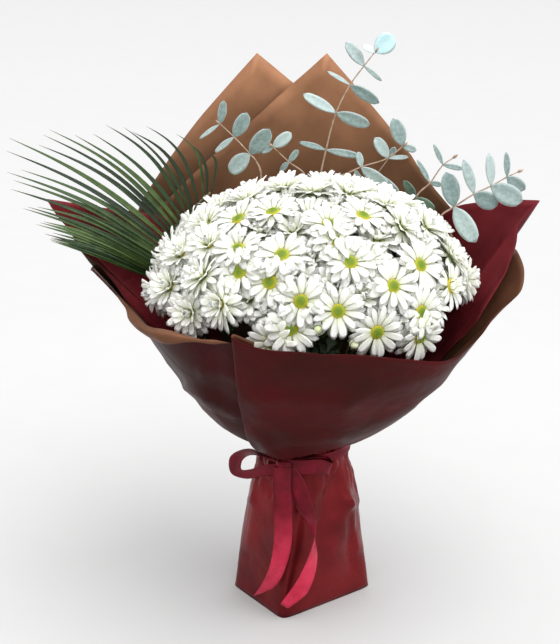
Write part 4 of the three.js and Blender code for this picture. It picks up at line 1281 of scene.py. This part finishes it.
def ribbon_run(build, cut, path):
    """A strip of ribbon, a little crowned. Its width turns smoothly from each way to the next."""
    middles = [seen_at(px, py, y) for px, py, y, _ in path]
    ways = [vec(*way) for *_, way in path]
    rows = []
    for i in range(RIBBON_STEPS + 1):
        row = []
        for side in np.linspace(-1, 1, 7):
            t = i / RIBBON_STEPS * (1 - max(cut * side, 0))
            across = unit(smooth(ways, t))
            ahead = smooth(middles, min(t + 0.02, 1)) - smooth(middles, max(t - 0.02, 0))
            crown = unit(np.cross(across, ahead)) * 0.9 * (1 - side**2)
            row.append(smooth(middles, t) + across * side * RIBBON_WIDTH / 2 + crown)
        rows.append(row)
    add_slab(build, np.array(rows), RIBBON_THICK, SATIN, SATIN)


def ribbon_turn(build):
    """The turn round the neck: the ribbon drawn together into a few folds."""
    rows = []
    for angle in np.linspace(0, 360, 121):
        row = []
        for k in np.linspace(-1, 1, 13):
            fold = 0.9 * math.cos(3.5 * math.pi * k + 0.6 * math.sin(math.radians(3 * angle)))
            row.append(around(angle, TURN_RADIUS + fold, TURN_Z + TURN_HALF * k))
        rows.append(row)
    add_slab(build, np.array(rows), RIBBON_THICK, SATIN, SATIN)


def ribbon_knot(build):
    """The knot: a crossing turn of ribbon, drawn tight into folds."""
    points = []
    for v in np.linspace(-1, 1, KNOT_RINGS):
        for turn in np.linspace(0, 2 * math.pi, KNOT_SIDES, endpoint=False):
            size = math.sqrt(max(1 - v**4, 0.02)) * (1 + 0.08 * math.cos(9 * v + 1.5 * math.sin(turn)))
            points.append(KNOT_AT + vec(v, size * math.cos(turn), size * math.sin(turn)) * KNOT_REACH)
    build.add(points, tube_faces(KNOT_RINGS, KNOT_SIDES), SATIN)


def ribbon_bow():
    build = Build("ribbon_bow", [SATIN])
    for cut, path in RIBBON_RUNS:
        ribbon_run(build, cut, path)
    ribbon_turn(build)
    ribbon_knot(build)
    build.finish()


# ---- The stage ----
FLOOR_SIZE = 30  # metres
FLOOR_DROP = 0.0003  # metres below the foot, so that the two don't share a plane


def stage():
    bpy.ops.mesh.primitive_plane_add(size=FLOOR_SIZE, location=(0, 0, -FLOOR_DROP))
    floor = bpy.context.object
    floor.name = "studio_floor"
    floor.data.materials.append(floor_look())
    soft_sky(level=0.72, overhead=1.5, from_right=0.15)
    soft_sun("key", come_from=(0.55, -0.35, 1.3), strength=2.0, spread=60)
    bpy.context.scene.view_settings.view_transform = "Standard"


def soft_sky(level, overhead, from_right):
    """Even studio light that is stronger from above and a little stronger from the right."""
    world = bpy.data.worlds.new("studio")
    world.use_nodes = True
    sky = Nodes(world.node_tree)
    way = sky.parts(sky.nodes.new("ShaderNodeTexCoord").outputs["Generated"])
    light = sky.math("MULTIPLY_ADD", way[2], overhead, level)
    light = sky.math("MULTIPLY_ADD", way[0], from_right, light)
    background = sky.nodes["Background"]
    sky.plug(WHITE, background.inputs["Color"])
    sky.plug(light, background.inputs["Strength"])
    bpy.context.scene.world = world


def soft_sun(name, come_from, strength, spread):
    """An even light from a direction, soft because it comes from a wide patch of sky."""
    data = bpy.data.lights.new(name, "SUN")
    data.energy, data.angle = strength, math.radians(spread)
    light = bpy.data.objects.new(name, data)
    light.rotation_euler = Vector(come_from).to_track_quat("Z", "Y").to_euler()
    bpy.context.scene.collection.objects.link(light)


SENSOR = 36  # height of the camera's sensor, in millimetres


def camera():
    """The photograph's camera: a pixel is a millimetre at the target."""
    data = bpy.data.cameras.new("camera")
    data.sensor_fit, data.sensor_height = "VERTICAL", SENSOR
    data.lens = SENSOR * VIEW_DISTANCE / PHOTO_HEIGHT
    data.clip_start, data.clip_end = 0.05, 60
    place = bpy.data.objects.new("camera", data)
    place.location = Vector((VIEW_TARGET + VIEW_DISTANCE * EYE_WAY) * MM)
    place.rotation_euler = (math.pi / 2 - VIEW_DOWN, 0, 0)
    bpy.context.scene.collection.objects.link(place)
    bpy.context.scene.camera = place


def build_all():
    camera()
    daisy_sprays()
    for name, sprig in SPRIGS.items():
        eucalyptus_sprig(name, **sprig)
    palm_frond()
    for name, sheet in SHEETS.items():
        wrap_sheet(name, **sheet)
    foot_film()
    ribbon_bow()
    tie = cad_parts["binding_tie"]
    tie.data.materials.clear()
    tie.data.materials.append(CORD)
    stage()


build_all()
bpy.context.view_layer.update()
